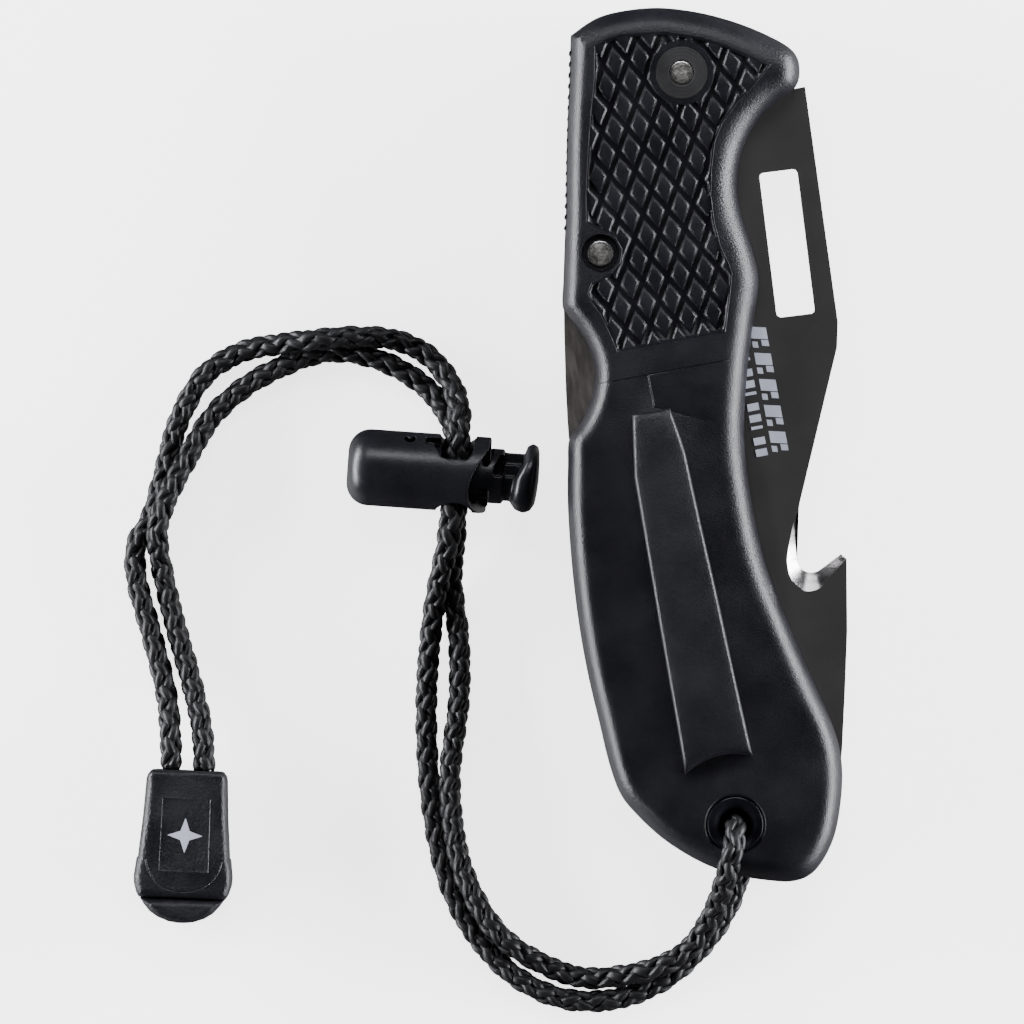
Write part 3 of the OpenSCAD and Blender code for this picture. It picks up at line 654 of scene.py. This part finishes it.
def runs(line, good):
    """The stretches of a line whose points are all good."""
    cuts = np.flatnonzero(np.diff(good.astype(int))) + 1
    return [part for part, fine in zip(np.split(line, cuts), np.split(good, cuts))
            if fine[0] and len(part) > 1]


def edge_rings():
    """Lines of points along the rounded edge, close together where it is steep."""
    side = normals(HANDLE)
    lines = []
    for share in [1 - math.cos(math.radians(a)) for a in range(10, 90, 10)] + [1.02]:
        ring = HANDLE + side * (REACH * share)[:, None]
        d, _ = distance(ring, HANDLE)
        lines += runs(ring, d > 0.97 * REACH * share)
    return lines


PANEL = np.array([
    (-10.5, 5.4), (-8.8, 6.0), (-6.9, 6.3), (-1.1, 5.6), (3.4, 4.0), (5.7, 2.8), (8.6, 0.9),
    (11.6, -1.1), (9.05, -3.3), (6.3, -5.3), (4.0, -7.5), (2.7, -9.6), (1.6, -13),
    (0.9, -16.3), (0.7, -19.8), (0.9, -22.9), (1.6, -25.6), (1.8, -26.7), (1.0, -29.4),
    (-0.5, -34.15), (-14.8, -34.15), (-15.3, -31.8), (-16, -29), (-17, -27), (-17.2, -25.8),
    (-16.5, -24.7), (-13.7, -23.8), (-12.3, -22.7), (-11.8, -21.1), (-12.3, -19.5),
    (-13.1, -18.7), (-14.8, -17.75), (-15.7, -16.8), (-15.1, -13.3), (-14.1, -8.9),
    (-12.6, -3.2), (-11.3, 1.3)])
PANEL_DEPTH = 0.14
# The half diagonals of the diamonds, and the grooves between them: the depth as a share,
# at each distance from the groove's middle line.
CELL_X, CELL_Y = 1.65, 2.85
GROOVE_DEPTH = 0.36
GROOVE_AT = [0.26, 0.38, 0.58, 0.70]
GROOVE_SHAPE = [1.0, 0.85, 0.12, 0.0]
CELL_IN = CELL_X * CELL_Y / math.hypot(CELL_X, CELL_Y)
DIAMOND = np.array([(CELL_X, 0), (0, CELL_Y), (-CELL_X, 0), (0, -CELL_Y)])
GROOVE_FADE = 0.25
BUSH_RING = 3.4
PLAIN_RING = BUSH_RING + 0.7
LOCK_RING = 2.9
SEAM = 0.1
SEAMS = [np.array([(-18.3, -37.6), (-16.2, -37.7), (-0.4, -37.7)]),
         np.array([(-11.4, -37.8), (-11.4, -42.0)])]


def cell_distance(points):
    """The distance from the middle of the nearest groove between the diamonds."""
    best = np.zeros(len(points))
    low = np.floor(points / (CELL_X, CELL_Y)).astype(int)
    for corner in ((0, 0), (0, 1), (1, 0), (1, 1)):
        cell = low + corner
        u, v = (np.abs(points - cell * (CELL_X, CELL_Y)) / (CELL_X, CELL_Y)).T
        best = np.where(cell.sum(1) % 2 == 0, np.maximum(best, CELL_IN * (1 - u - v)), best)
    return best


def panel_depth(points):
    d, _ = distance(points, PANEL)
    d = np.where(inside(points, PANEL), d, 0)
    step = PANEL_DEPTH * np.clip((d - 0.01) / 0.08, 0, 1)
    groove = GROOVE_DEPTH * np.interp(cell_distance(points), GROOVE_AT, GROOVE_SHAPE)
    away = np.minimum(np.linalg.norm(points, axis=1) - PLAIN_RING,
                      np.linalg.norm(points - LOCK_AT, axis=1) - LOCK_RING)
    fade = np.clip(np.minimum(d - GROOVE_FADE, away) / GROOVE_FADE, 0, 1)
    return step + groove * fade


def panel_creases():
    """Closed and open creases along the panel's edge and round the diamonds in it."""
    loops = [PANEL, circle((0, 0), PLAIN_RING), circle((0, 0), PLAIN_RING + GROOVE_FADE)]
    loops += [PANEL + inward(PANEL) * e for e in (0.09, GROOVE_FADE, 2 * GROOVE_FADE)]
    lines = []
    lo, hi = PANEL.min(0), PANEL.max(0)
    for m in range(int(lo[0] / CELL_X) - 1, int(hi[0] / CELL_X) + 2):
        for n in range(int(lo[1] / CELL_Y) - 1, int(hi[1] / CELL_Y) + 2):
            if (m + n) % 2:
                continue
            c = np.array([m * CELL_X, n * CELL_Y])
            outside = not inside(c[None], PANEL)[0] and distance(c[None], PANEL)[0][0] > 2.2
            if outside or np.linalg.norm(c) < BUSH_RING - 0.5:
                continue
            for e in GROOVE_AT:
                k = 1 - e / CELL_IN
                cell = c + k * DIAMOND
                if inside(cell, PANEL).all():
                    loops.append(cell)
                    continue
                fine = np.vstack([a + (b - a) * np.linspace(0, 1, 13)[:-1, None]
                                  for a, b in zip(*segments(cell))] + [cell[:1]])
                good = inside(fine, PANEL) & (distance(fine, PANEL)[0] > 0.03)
                lines += runs(fine, good)
    return loops, lines


def seam_depth(points):
    depth = np.zeros(len(points))
    for line in SEAMS:
        d, _ = distance(points, line, False)
        depth = np.maximum(depth, SEAM * np.clip(1 - d / SEAM, 0, 1))
    return depth


def recess(points, centre, radius, depth, slope):
    """A round recess with a sloped wall."""
    r = np.linalg.norm(points - centre, axis=1)
    return depth * np.clip((radius - r) / slope, 0, 1)


LOCK_RECESS_R, LOCK_RECESS = 2.5, 0.7
WALL = 0.05
FUNNEL_R, FUNNEL = 4.0, 0.9


def scale_down(points):
    """The depth of a scale's outside face below its flat, at each point of the plan."""
    well = recess(points, LOCK_AT, LOCK_RECESS_R, LOCK_RECESS, WALL)
    return np.maximum(rounding(points), well) + panel_depth(points)


def front_top(points):
    funnel = recess(points, LANYARD_AT, FUNNEL_R, FUNNEL, FUNNEL)
    return HANDLE_T - np.maximum(scale_down(points) + seam_depth(points), funnel)


# The way out for the back leg of the lanyard, in the back scale.
CHANNEL = np.array([(-14.6, -97.1), (-14.6, -112), (-7.2, -112), (-7.2, -97.1)])
CHANNEL = np.vstack([CHANNEL, circle(LANYARD_AT, 3.7, 16, 0, 180)[1:]])
CHANNEL_H = CORD_D + 0.1


def back_bottom(points):
    d, _ = distance(points, CHANNEL)
    cut = CHANNEL_H * np.where(inside(points, CHANNEL), np.clip(d / WALL, 0, 1), 0)
    return np.maximum(scale_down(points), cut)


def flat(z):
    return lambda points: np.full(len(points), z)


crease_loops, crease_lines = panel_creases()
crease_loops += [circle(LOCK_AT, LOCK_RECESS_R - e, 40) for e in (0, WALL)]
seam_lines = [line + dx for line in SEAMS for dx in (-SEAM, 0.0, SEAM)]
rings = edge_rings()
LOCK_PIN_R, EYELET_R = 1.7, 3.0
scale_holes = [circle((0, 0), BUSH_RING, 64), circle(LOCK_AT, LOCK_PIN_R, 40),
               circle(LANYARD_AT, EYELET_R)]


def edge_directions(verts, flip):
    """Normals of the rounded edge, from its own formula; zero away from it."""
    plan = verts[:, :2]
    d, _ = distance(plan, HANDLE)
    reach = rounding_reach(plan)
    e = 0.02
    moved = [distance(plan + o, HANDLE)[0] for o in ((e, 0), (-e, 0), (0, e), (0, -e))]
    slope = np.column_stack([moved[0] - moved[1], moved[2] - moved[3]])
    on_rim = d < 0.002
    if on_rim.any():
        side = normals(HANDLE)
        _, where = distance(plan[on_rim], HANDLE)
        slope[on_rim] = side[np.round(where).astype(int) % len(side)]
    slope /= np.maximum(np.linalg.norm(slope, axis=1, keepdims=True), 1e-9)
    t = np.clip(d / reach, 0, 1)
    tilt = np.arctan2(ROUND_DROP * (1 - t), reach * np.sqrt(np.maximum(1 - (1 - t) ** 2, 1e-9)))
    out = np.column_stack([-slope * np.sin(tilt)[:, None], flip * np.cos(tilt)])
    face_z = HANDLE_T if flip > 0 else 0
    off_edge = np.abs(rounding(plan) - np.abs(verts[:, 2] - face_z)) > 0.004
    out[((t >= 1) | off_edge) & ~on_rim] = 0
    return out


TEETH_FROM, TEETH_TO = np.array([-13.4, 6.0]), np.array([-18.55, -18.0])
TEETH_PITCH, TEETH_RISE, TEETH_ROOT = 1.42, 0.33, 1.2


def teeth(lo, hi):
    """The grip teeth along the spine: a strip of small rounded ribs."""
    length = np.linalg.norm(TEETH_TO - TEETH_FROM)
    along = (TEETH_TO - TEETH_FROM) / length
    out = np.array([along[1], -along[0]])
    steps = 10
    s = np.arange(int(length / TEETH_PITCH) * steps + 1) / steps
    rise = TEETH_RISE * np.abs(np.sin(np.pi * s)) ** 4 - 0.03
    edge = TEETH_FROM + along * (s * TEETH_PITCH)[:, None] + out * rise[:, None]
    n = len(edge)
    root = edge - out * (rise[:, None] + TEETH_ROOT)
    verts = np.vstack([at_height(q, z)
                       for q, z in ((root, lo), (edge, lo), (edge, hi), (root, hi))])
    faces = []
    for k in range(4):
        a, b = k * n, ((k + 1) % 4) * n
        faces += [(a + i, a + i + 1, b + i + 1, b + i) for i in range(n - 1)]
    faces += [(0, n, 2 * n, 3 * n), (n - 1, 4 * n - 1, 3 * n - 1, 2 * n - 1)]
    return verts, faces


eyelet_loops = [circle(LANYARD_AT, r) for r in (EYELET_R + 0.1, FUNNEL_R)]
v, f = slab(HANDLE, scale_holes, front_top, flat(SLOT_HI), crease_loops + eyelet_loops,
            rings + seam_lines + crease_lines)
front = piece("front_scale", v, f, "handle", "handle_plastic", 38, second="pad_plastic",
              directions=edge_directions(v, 1))
middle = middles(front, v)
paint(front, inside(middle[:, :2], PANEL) & (middle[:, 2] > 11))
v, f = slab(HANDLE, scale_holes, flat(SLOT_LO), back_bottom, crease_loops + [CHANNEL],
            rings + crease_lines)
piece("back_scale", v, f, "handle", "handle_plastic", 38, directions=edge_directions(v, -1))
for name, lo, hi in (("front_teeth", SLOT_HI + 0.02, 10.3),
                     ("back_teeth", 2.7, SLOT_LO - 0.02)):
    piece(name, *teeth(lo, hi), "handle", "handle_plastic", 50)

# ---- Clip ----

CLIP_SIDES = np.array([
    (-14.4, -42.4), (-15.0, -46.4), (-15.6, -50.5), (-15.75, -60), (-15.9, -70),
    (-16.0, -80), (-16.1, -89.6)])
CLIP_OTHER = np.array([
    (-9.4, -42.5), (-8.9, -45.5), (-8.5, -48.5), (-8.2, -58), (-7.8, -68), (-7.5, -78),
    (-7.1, -88.6)])
CLIP_END_R = 9.2
clip_end = np.array(arc(LANYARD_AT, CLIP_END_R, 124.5, 65.8, 14))
CLIP = np.vstack([CLIP_SIDES, clip_end, CLIP_OTHER[::-1]])
# Heights above the scale's flat face along the clip, by Y.
CLIP_TOP = [(-92, 1.6), (-90, 2.6), (-88, 3.1), (-84, 3.35), (-60, 3.35), (-46, 2.95),
            (-43.2, 2.7), (-42.3, 2.45)]
CLIP_UNDER = [(-92, -0.5), (-80.5, -0.5), (-79.3, 1.2), (-76, 1.5), (-60, 1.5), (-47, 0.7),
              (-42.3, 0.5)]
CLIP_CROWN = 0.35
CLIP_BEVEL, CLIP_BEVEL_DROP = 0.42, 0.6
CLIP_ROLL, CLIP_ROLL_DROP = 1.5, 1.3


def clip_middle(points):
    left = np.interp(-points[:, 1], -CLIP_SIDES[:, 1], CLIP_SIDES[:, 0])
    right = np.interp(-points[:, 1], -CLIP_OTHER[:, 1], CLIP_OTHER[:, 0])
    return (left + right) / 2, (right - left) / 2


def along_clip(points, heights):
    return HANDLE_T + np.interp(points[:, 1], *zip(*heights))


def clip_top(points):
    middle, half = clip_middle(points)
    crown = CLIP_CROWN * ((points[:, 0] - middle) / half) ** 2
    to_end = np.linalg.norm(points - LANYARD_AT, axis=1) - CLIP_END_R
    return (along_clip(points, CLIP_TOP) - crown
            - CLIP_BEVEL_DROP * round_over(distance(points, CLIP)[0], CLIP_BEVEL)
            - CLIP_ROLL_DROP * round_over(to_end, CLIP_ROLL))


def clip_under(points):
    return np.minimum(along_clip(points, CLIP_UNDER), clip_top(points) - 0.3)


def within(points, loop, margin=0.0):
    """The points inside a loop and farther than the margin from it."""
    points = np.array(points)
    return points[inside(points, loop) & (distance(points, loop)[0] > margin)]


clip_outline = subdivided(CLIP, 1.2)
clip_rings = [clip_outline + inward(clip_outline) * CLIP_BEVEL * share
              for share in (0.08, 0.3, 0.62, 1.05)]
clip_grid = [(x, y) for y in np.arange(-90, -43, 1.5) for x in np.arange(-15.3, -7, 0.8)]
clip_grid = np.vstack([within(clip_grid, CLIP, 0.8)]
                      + [within(arc(LANYARD_AT, CLIP_END_R + e, 124, 66, 24), CLIP,
                                min(e * 0.9, 0.5)) for e in (0.12, 0.3, 0.55, 0.85, 1.2)])
v, f = slab(clip_outline, [], clip_top, clip_under, clip_rings, (), clip_grid)
piece("pocket_clip", v, f, "handle", "clip_plastic", 50, slot="handle_plastic")

# ---- Pins, bushes and eyelet ----


def pin(name, centre, radius, low, high):
    """A turned pin with a bright chamfered rim round a domed, rougher middle."""
    rim = radius * 0.2
    inner = radius - rim
    half = [(radius, high - 0.28), (radius - 0.06, high - 0.12),
            (radius - rim * 0.5, high - 0.04), (inner, high - 0.07)]
    half += [(inner * math.cos(a), high - 0.07 + 0.07 * math.sin(a))
             for a in np.radians([25, 45, 65, 80])] + [(0, high)]
    v, f = lathe([(r, low + high - z) for r, z in half[::-1]] + half, centre, 56)
    obj = piece(name, v, f, "handle", "pin_steel", 60, second="rim_steel")
    from_axis = np.linalg.norm(middles(obj, v)[:, :2] - centre, axis=1)
    paint(obj, from_axis > inner * 0.97)


def bush(name, face_z, back_z):
    """A bush with a faintly turned face."""
    inner, outer = 1.62, BUSH_RING
    face = [(inner, -0.2), (inner + 0.05, -0.06)]
    face += [(r, 0.006 * math.sin(r * 14) - 0.03)
             for r in np.linspace(inner + 0.12, outer - 0.15, 40)]
    face += [(outer - 0.03, -0.05), (outer, -0.12)]
    up = 1 if face_z > back_z else -1
    profile = [(inner, back_z)] + [(r, face_z + up * z) for r, z in face] + [(outer, back_z)]
    v, f = lathe(profile, (0, 0), 72)
    piece(name, v, f, "handle", "bush_metal", 40)


pin("pivot_pin", (0, 0), 1.6, 0.3, HANDLE_T - 0.3)
pin("lock_pin", LOCK_AT, LOCK_PIN_R, 0.35, HANDLE_T - 0.35)
bush("front_bush", HANDLE_T - 0.1, SLOT_HI)
bush("back_bush", 0.1, SLOT_LO)

LIP, WAIST_R, FILL_R = 1.6, 1.9, 1.4
eyelet = ([(EYELET_R, 4.1), (EYELET_R, HANDLE_T - 1.4), (EYELET_R + 0.55, HANDLE_T - 0.62),
           (EYELET_R + 0.58, HANDLE_T - 0.12), (EYELET_R + 0.5, HANDLE_T - 0.06)]
          + arc((WAIST_R + LIP, HANDLE_T - 0.05 - LIP), LIP, 92, 180, 16)
          + [(WAIST_R - 0.1, 10.9), (FILL_R, 9.8), (FILL_R, 6.2), (WAIST_R - 0.1, 5.2)]
          + arc((WAIST_R + LIP, 3.15 + LIP), LIP, 180, 268, 16))
v, f = lathe(eyelet, LANYARD_AT, 72)
piece("lanyard_eyelet", v, f, "handle", "eyelet_plastic", 40)

# ---- Blade and lock bar ----


def copy_of(name):
    """The CAD node's own mesh as arrays, in millimetres from the pivot."""
    data = frame["nodes"][name].data
    n = len(data.vertices)
    co = np.empty(n * 3)
    data.vertices.foreach_get("co", co)
    return (co.reshape(n, 3) - PIVOT) / MM, [tuple(q.vertices) for q in data.polygons]


def raw(shape):
    """A working object that isn't part of the scene."""
    verts, faces = shape
    mesh = bpy.data.meshes.new("working")
    mesh.from_pydata(metres(verts).tolist(), [], [list(map(int, q)) for q in faces])
    return add_object("working", mesh)


def result(shape, cutters=(), voxel=0.0, soften=0, bevel=0.0, added=()):
    """A shape's mesh after adding to it, cutting it, bevelling it and moulding it."""
    obj = raw(shape)
    tools = [(raw(q), "UNION") for q in added] + [(raw(q), "DIFFERENCE") for q in cutters]
    for tool, operation in tools:
        m = obj.modifiers.new("join", "BOOLEAN")
        m.operation, m.solver, m.object = operation, "EXACT", tool
    if bevel:
        m = obj.modifiers.new("bevel", "BEVEL")
        m.width, m.segments, m.limit_method = bevel * MM, 2, "ANGLE"
        m.angle_limit = math.radians(40)
    if voxel:
        m = obj.modifiers.new("mould", "REMESH")
        m.mode, m.voxel_size, m.use_smooth_shade = "VOXEL", voxel * MM, True
    if soften:
        m = obj.modifiers.new("soften", "SMOOTH")
        m.factor, m.iterations = 0.5, soften
    bpy.context.view_layer.update()
    made = obj.evaluated_get(bpy.context.evaluated_depsgraph_get())
    mesh = bpy.data.meshes.new_from_object(made)
    for old in (obj, *(tool for tool, _ in tools)):
        bpy.data.objects.remove(old, do_unlink=True)
    verts = np.array([tuple(q.co) for q in mesh.vertices])
    faces = [tuple(q.vertices) for q in mesh.polygons]
    return (verts - PIVOT) / MM, faces


BLADE_TOP = MID_Z + 1.4
HOOK_DEPTH = 1.2
HOOK_EDGE = np.vstack([[(5.05, -57.6), (4.8, -58.3)], arc((5.25, -65), 1.9, 180, 301, 20),
                       [(9.15, -65.2), (9.7, -65.9)]])
HOOK_BEVEL = smooth([(4.8, -58.3), (3.7, -60.2), (2.4, -63.5), (2.0, -65.3), (2.2, -67.3),
                     (3.6, -69.0), (5.6, -69.0), (7.4, -67.6), (9.7, -65.9)], 6)


def hook_floor(points):
    outer, _ = distance(points, HOOK_BEVEL, False)
    inner, _ = distance(points, HOOK_EDGE, False)
    return BLADE_TOP - 0.01 - HOOK_DEPTH * np.clip(outer / (outer + inner + 0.06), 0, 1)


hook_region = np.vstack([HOOK_BEVEL, [(10.6, -65.2), (9.5, -60), (5.6, -57.6)]])
hook_points = [(x, y) for x in np.arange(2.1, 10, 0.25) for y in np.arange(-69, -58, 0.25)]
hook_points = within(hook_points, hook_region)
hook_points = hook_points[(distance(hook_points, HOOK_EDGE, False)[0] > 0.08)
                          & (distance(hook_points, HOOK_BEVEL, False)[0] > 0.1)]
hook_cutter = slab(hook_region, [], flat(BLADE_TOP + 1), hook_floor, (),
                   [HOOK_EDGE[1:-1]], hook_points)
v, f = result(copy_of("blade"), [hook_cutter], bevel=0.1)
blade = piece("blade", v, f, "blade", "blade_steel", 12, second="ground_steel")
middle = middles(blade, v)
up = np.array([q.normal.z for q in blade.data.polygons])
paint(blade, inside(middle[:, :2], hook_region) & (-0.1 < up) & (up < 0.995)
      & (middle[:, 2] > BLADE_TOP - HOOK_DEPTH - 0.05))

v, f = result(copy_of("lock_bar"), bevel=0.4)
piece("lock_bar", v, f, "lock_bar", "bar_steel", 30)


PRINT_LOW, PRINT_HIGH = BLADE_TOP - 0.05, BLADE_TOP + 0.012


def marks():
    """Two rows of plain blocks printed on the blade: generic marks, no letters."""
    verts, faces = [], []

    def block(x0, x1, y0, y1, slant):
        corners = np.array([(x0, y0), (x1, y0 - slant), (x1, y1 - slant), (x0, y1)])
        v, f = solid(at_height(corners, PRINT_LOW), at_height(corners, PRINT_HIGH))
        faces.extend([np.array(q) + len(verts) for q in f])
        verts.extend(v)

    for k in range(5):
        y = -33.9 - 3.45 * k
        block(2.75, 4.85, y, y - 1.55, 0.5)
        block(2.75, 3.45, y - 1.95, y - 2.75, 0.17)
        block(3.95, 4.85, y - 1.95, y - 2.75, 0.22)
    for k in range(9):
        y = -37.8 - 1.5 * k
        block(0.6, 2.1, y, y - (0.95 if k % 3 else 0.4), 0.0)
    return verts, faces


v, f = marks()
piece("blade_print", v, f, "blade", "print_ink", 20, slot="blade_steel")

# ---- Cord lock ----

BARREL_R, BORE_R, PLUNGER_R = 5.0, 3.68, 3.58
BARREL_END, BORE_END = 4.35, -12.7
WINDOW = (-2.1, 4.35)
THROUGH = 9


def lock_to_pivot(points):
    """Points of the cord lock, its barrel along +X, as points from the pivot."""
    return placed(points, LOCK_C, LOCK_A, BARREL_R)


def rolled(points, turn):
    """Points turned about the barrel's axis, in degrees."""
    x, y, z = points.T
    c, s = math.cos(math.radians(turn)), math.sin(math.radians(turn))
    return np.column_stack([x, y * c - z * s, y * s + z * c])


def turned(profile, count=96):
    """A profile of (x, radius) turned round the barrel's axis."""
    v, f = lathe([(r, x) for x, r in profile], (0, 0), count)
    return lock_to_pivot(v[:, [2, 0, 1]]), f


def prism(outline, lo, hi, turn=0.0):
    """An outline in (x, y) extruded along z, then turned about the barrel's axis."""
    outline = np.asarray(outline, float)
    v, f = solid(at_height(outline, lo), at_height(outline, hi))
    return lock_to_pivot(rolled(v, turn)), f


def tunnel(half, mid, y0, y1, lift, turn):
    """A round-ended passage along +Y, lifted and turned about the barrel's axis."""
    ring = np.array(arc((0, mid), half, 0, 180, 20) + arc((0, -mid), half, 180, 360, 20))
    v, f = solid(*(np.column_stack([ring[:, 0], np.full(len(ring), y), ring[:, 1] + lift])
                   for y in (y0, y1)), flipped=True)
    return lock_to_pivot(rolled(v, turn)), f


barrel = turned([(-14.2, 0)] + arc((-11.3, 2.1), 2.9, 180, 90, 12)
                + [(-6, BARREL_R), (BARREL_END - 0.2, BARREL_R), (BARREL_END, 4.8),
                   (BARREL_END, BORE_R), (BORE_END, BORE_R), (BORE_END, 0)])
cord_hole = tunnel(2.3, 0.75, -THROUGH, THROUGH, 0, 0)
mouth = tunnel(2.05, 0.9, 0.6, THROUGH, 0.35, 32)
slit = prism([(-4.3, 4.35), (-4.3, 3.55), (-3.2, 3.5), (-2.6, 2.8), (-2.1, 2.0),
              (-0.5, 1.6), (-0.5, 4.35)], 1.5, THROUGH)
moulded_mark = prism(arc((-6.3, 4.5), 0.9, 200, 340, 10)
                     + arc((-6.3, 4.5), 0.45, 340, 200, 10), 1.2, THROUGH)
saddle = prism(circle((7.7, 0), 6.0, 72), -0.4, THROUGH, 30)
v, f = result(barrel, [cord_hole, mouth, slit, moulded_mark, saddle], voxel=0.13, soften=4)
piece("cord_lock_barrel", v, f, "cord_lock", "lock_plastic", 180)

BUTTON_R = 4.55
FULLNESS = 0.75
# The button's two faces: the place along the axis, by the distance across.
CAP_LEFT = [(-4.55, 8.9), (-4.2, 7.9), (-3.3, 7.2), (-1.9, 7.1), (-0.2, 7.25), (1.3, 8.1),
            (2.4, 8.6), (3.5, 8.85), (4.2, 9.1), (4.5, 9.7)]
CAP_RIGHT = [(-4.55, 9.1), (-4.2, 9.9), (-3.3, 10.45), (-1.9, 10.65), (0, 10.78), (2, 10.75),
             (3.5, 10.65), (4.2, 10.45), (4.5, 9.9)]


def button():
    """The button: a thick disc, scooped on the side that the finger pulls against."""
    ys = (BUTTON_R - 0.03) * np.sin(np.linspace(-math.pi / 2, math.pi / 2, 41))
    sides, rings, f = 40, [], []
    a = 2 * np.pi * np.arange(sides) / sides
    c, s = np.cos(a), np.sin(a)
    for y in ys[1:-1]:
        left = np.interp(y, *zip(*CAP_LEFT))
        right = np.interp(y, *zip(*CAP_RIGHT))
        high = math.sqrt(max(BUTTON_R ** 2 - y * y, 0.04)) * 0.98
        x = (left + right) / 2 + (right - left) / 2 * np.sign(c) * np.abs(c) ** FULLNESS
        z = high * np.sign(s) * np.abs(s) ** FULLNESS
        rings.append(np.column_stack([x, np.full(sides, y), z]))
    n = len(rings)
    for k in range(n - 1):
        f += [(k * sides + i, (k + 1) * sides + i, (k + 1) * sides + (i + 1) % sides,
               k * sides + (i + 1) % sides) for i in range(sides)]
    f += [tuple(range(sides)), tuple(range((n - 1) * sides, n * sides))[::-1]]
    return lock_to_pivot(np.vstack(rings)), f


stem = turned([(-4.1, 0), (-4.1, PLUNGER_R), (6.0, PLUNGER_R), (6.2, PLUNGER_R - 0.2),
               (6.2, 3.15), (8.9, 3.15), (8.9, 0)])
window = prism([(WINDOW[0], -THROUGH), (WINDOW[1], -THROUGH), (WINDOW[1], THROUGH),
                (WINDOW[0], THROUGH)], -2.95, 2.95)
pockets = [
    prism([(3.3, 1.3), (3.9, 1.1), (4.5, 2.2), (4.7, 3.2), (4.5, 5), (3.3, 5)], 0.8,
          THROUGH),
    prism([(4.75, 0.3), (5.0, -0.05), (5.9, -0.05), (6.15, 0.3), (6.15, 2.6), (5.6, 2.9),
           (5.2, 1.9), (4.85, 1.2)], 0.6, THROUGH),
    prism([(6.15, 1.6), (8.6, 1.6), (8.6, 9), (6.15, 9)], 0.2, THROUGH),
    prism([(6.15, 0.0), (7.7, 0.0), (8.3, 1.7), (6.15, 1.7)], 2.1, THROUGH),
]
v, f = result(stem, [window, *pockets], voxel=0.12, soften=3, added=[button()])
piece("cord_lock_plunger", v, f, "cord_lock_button", "lock_plastic", 180)

# ---- Cord end ----

END_C = np.array([-79.7, -77.4])
END_A = math.radians(-12.9)
END_T = 8.0
# One side of each part's outline from its top or seam; the other side mirrors it.
BODY_SIDE = [(4.1, 0.0), (4.7, -0.1), (5.1, -0.6), (5.25, -1.2), (5.5, -6.0), (5.85, -10.0),
             (5.95, -11.3), (6.12, -11.5), (6.4, -13.8), (6.35, -14.8), (6.0, -16.0),
             (5.65, -16.6)]
END_CAP_SIDE = [(5.5, -16.72), (4.9, -17.6), (4.1, -18.5), (3.0, -19.2), (1.6, -19.7),
                (0.5, -19.85)]
LABEL = np.array([(-3.0, -3.6), (-3.15, -13.1), (3.35, -13.1), (3.25, -3.6)])
U_LINE = smooth([(-4.95, -11.6), (-4.5, -13.0), (-3.3, -14.7), (-1.5, -15.6), (0.2, -15.75),
                 (2.0, -15.4), (3.6, -14.4), (4.7, -12.9), (5.0, -11.6)], 6)
U_HALF = 0.11
# The edges' roundings on the left and on the right, as shares of the part's own.
LEFT_REACH, RIGHT_REACH = 1.05, 0.85


def end_outline(side):
    """Both sides of the cord end from one, with points close enough for its edges."""
    return subdivided(np.array(side + [(-x, y) for x, y in side[::-1]]), 0.4)


def end_piece(name, outline, reach, drop, detail=None, loops=(), lines=()):
    """A part of the cord end, its edges rounded over by the reach and the drop."""
    side = inward(outline)

    def fall(points):
        far = reach * np.where(points[:, 0] < 0, LEFT_REACH, RIGHT_REACH)
        far *= np.interp(points[:, 1], [-1.8, -0.3], [1, 0.4])
        return drop * round_over(distance(points, outline)[0], far)

    def top(points):
        return END_T - fall(points) - (detail(points) if detail else 0)

    rims = []
    for share in (0.02, 0.08, 0.2, 0.36, 0.55, 0.75, 0.95, 1.15, 1.32):
        ring = outline + side * reach * share
        rims.append(ring[distance(ring, outline)[0] > 0.96 * reach * share])
    v, f = slab(outline, [], top, fall, loops, lines, np.vstack(rims))
    piece(name, placed(v, END_C, END_A), f, "handle", "end_plastic", 32)


def end_detail(points):
    """The label's sunk face in its fine ridge, and the line round it."""
    d, _ = distance(points, LABEL)
    ridge = -0.04 * np.clip(1 - d / 0.1, 0, 1)
    sunk = 0.05 * np.where(inside(points, LABEL), np.clip(d / 0.15, 0, 1), 0)
    u, _ = distance(points, U_LINE, False)
    return ridge + sunk + 0.07 * np.clip(1 - u / U_HALF, 0, 1)


label_loops = [LABEL] + [LABEL + np.array([(-e, e), (-e, -e), (e, -e), (e, e)])
                         for e in (-0.15, -0.1, 0.1)]
u_lines = [(U_LINE + normals(U_LINE) * e)[1:-1] for e in (-U_HALF, 0.0, U_HALF)]
end_piece("cord_end_body", end_outline(BODY_SIDE), 1.15, 1.3, end_detail, label_loops,
          u_lines)
end_piece("cord_end_cap", end_outline(END_CAP_SIDE), 1.0, 1.6)

# A plain four-pointed star, printed on the label.
STAR_AT, STAR_POINT, STAR_NOTCH = np.array([0.1, -8.4]), 2.3, 0.85
star = np.array([STAR_AT + (STAR_NOTCH if k % 2 else STAR_POINT)
                 * np.array([math.sin(k * math.pi / 4), math.cos(k * math.pi / 4)])
                 for k in range(8)])
v, f = solid(at_height(star, END_T - 0.2), at_height(star, END_T - 0.03), flipped=True)
piece("cord_end_label", placed(v, END_C, END_A), f, "handle", "print_ink", 20,
      slot="end_plastic")

# ---- Finish ----

# The CAD's own shapes that are seen as they are, with their materials.
CARRIED = {
    "spine_spacer": "dark_plastic", "pivot_sleeve": "sleeve_steel",
    "front_washer": "washer_bronze", "back_washer": "washer_bronze",
    "lock_spring": "spring_steel", "cord_lock_spring": "spring_steel",
    "cord_knots": "cord_core",
}
for name, kind in CARRIED.items():
    data = frame["nodes"][name].data
    data.materials.clear()
    data.materials.append(MATERIALS[kind])
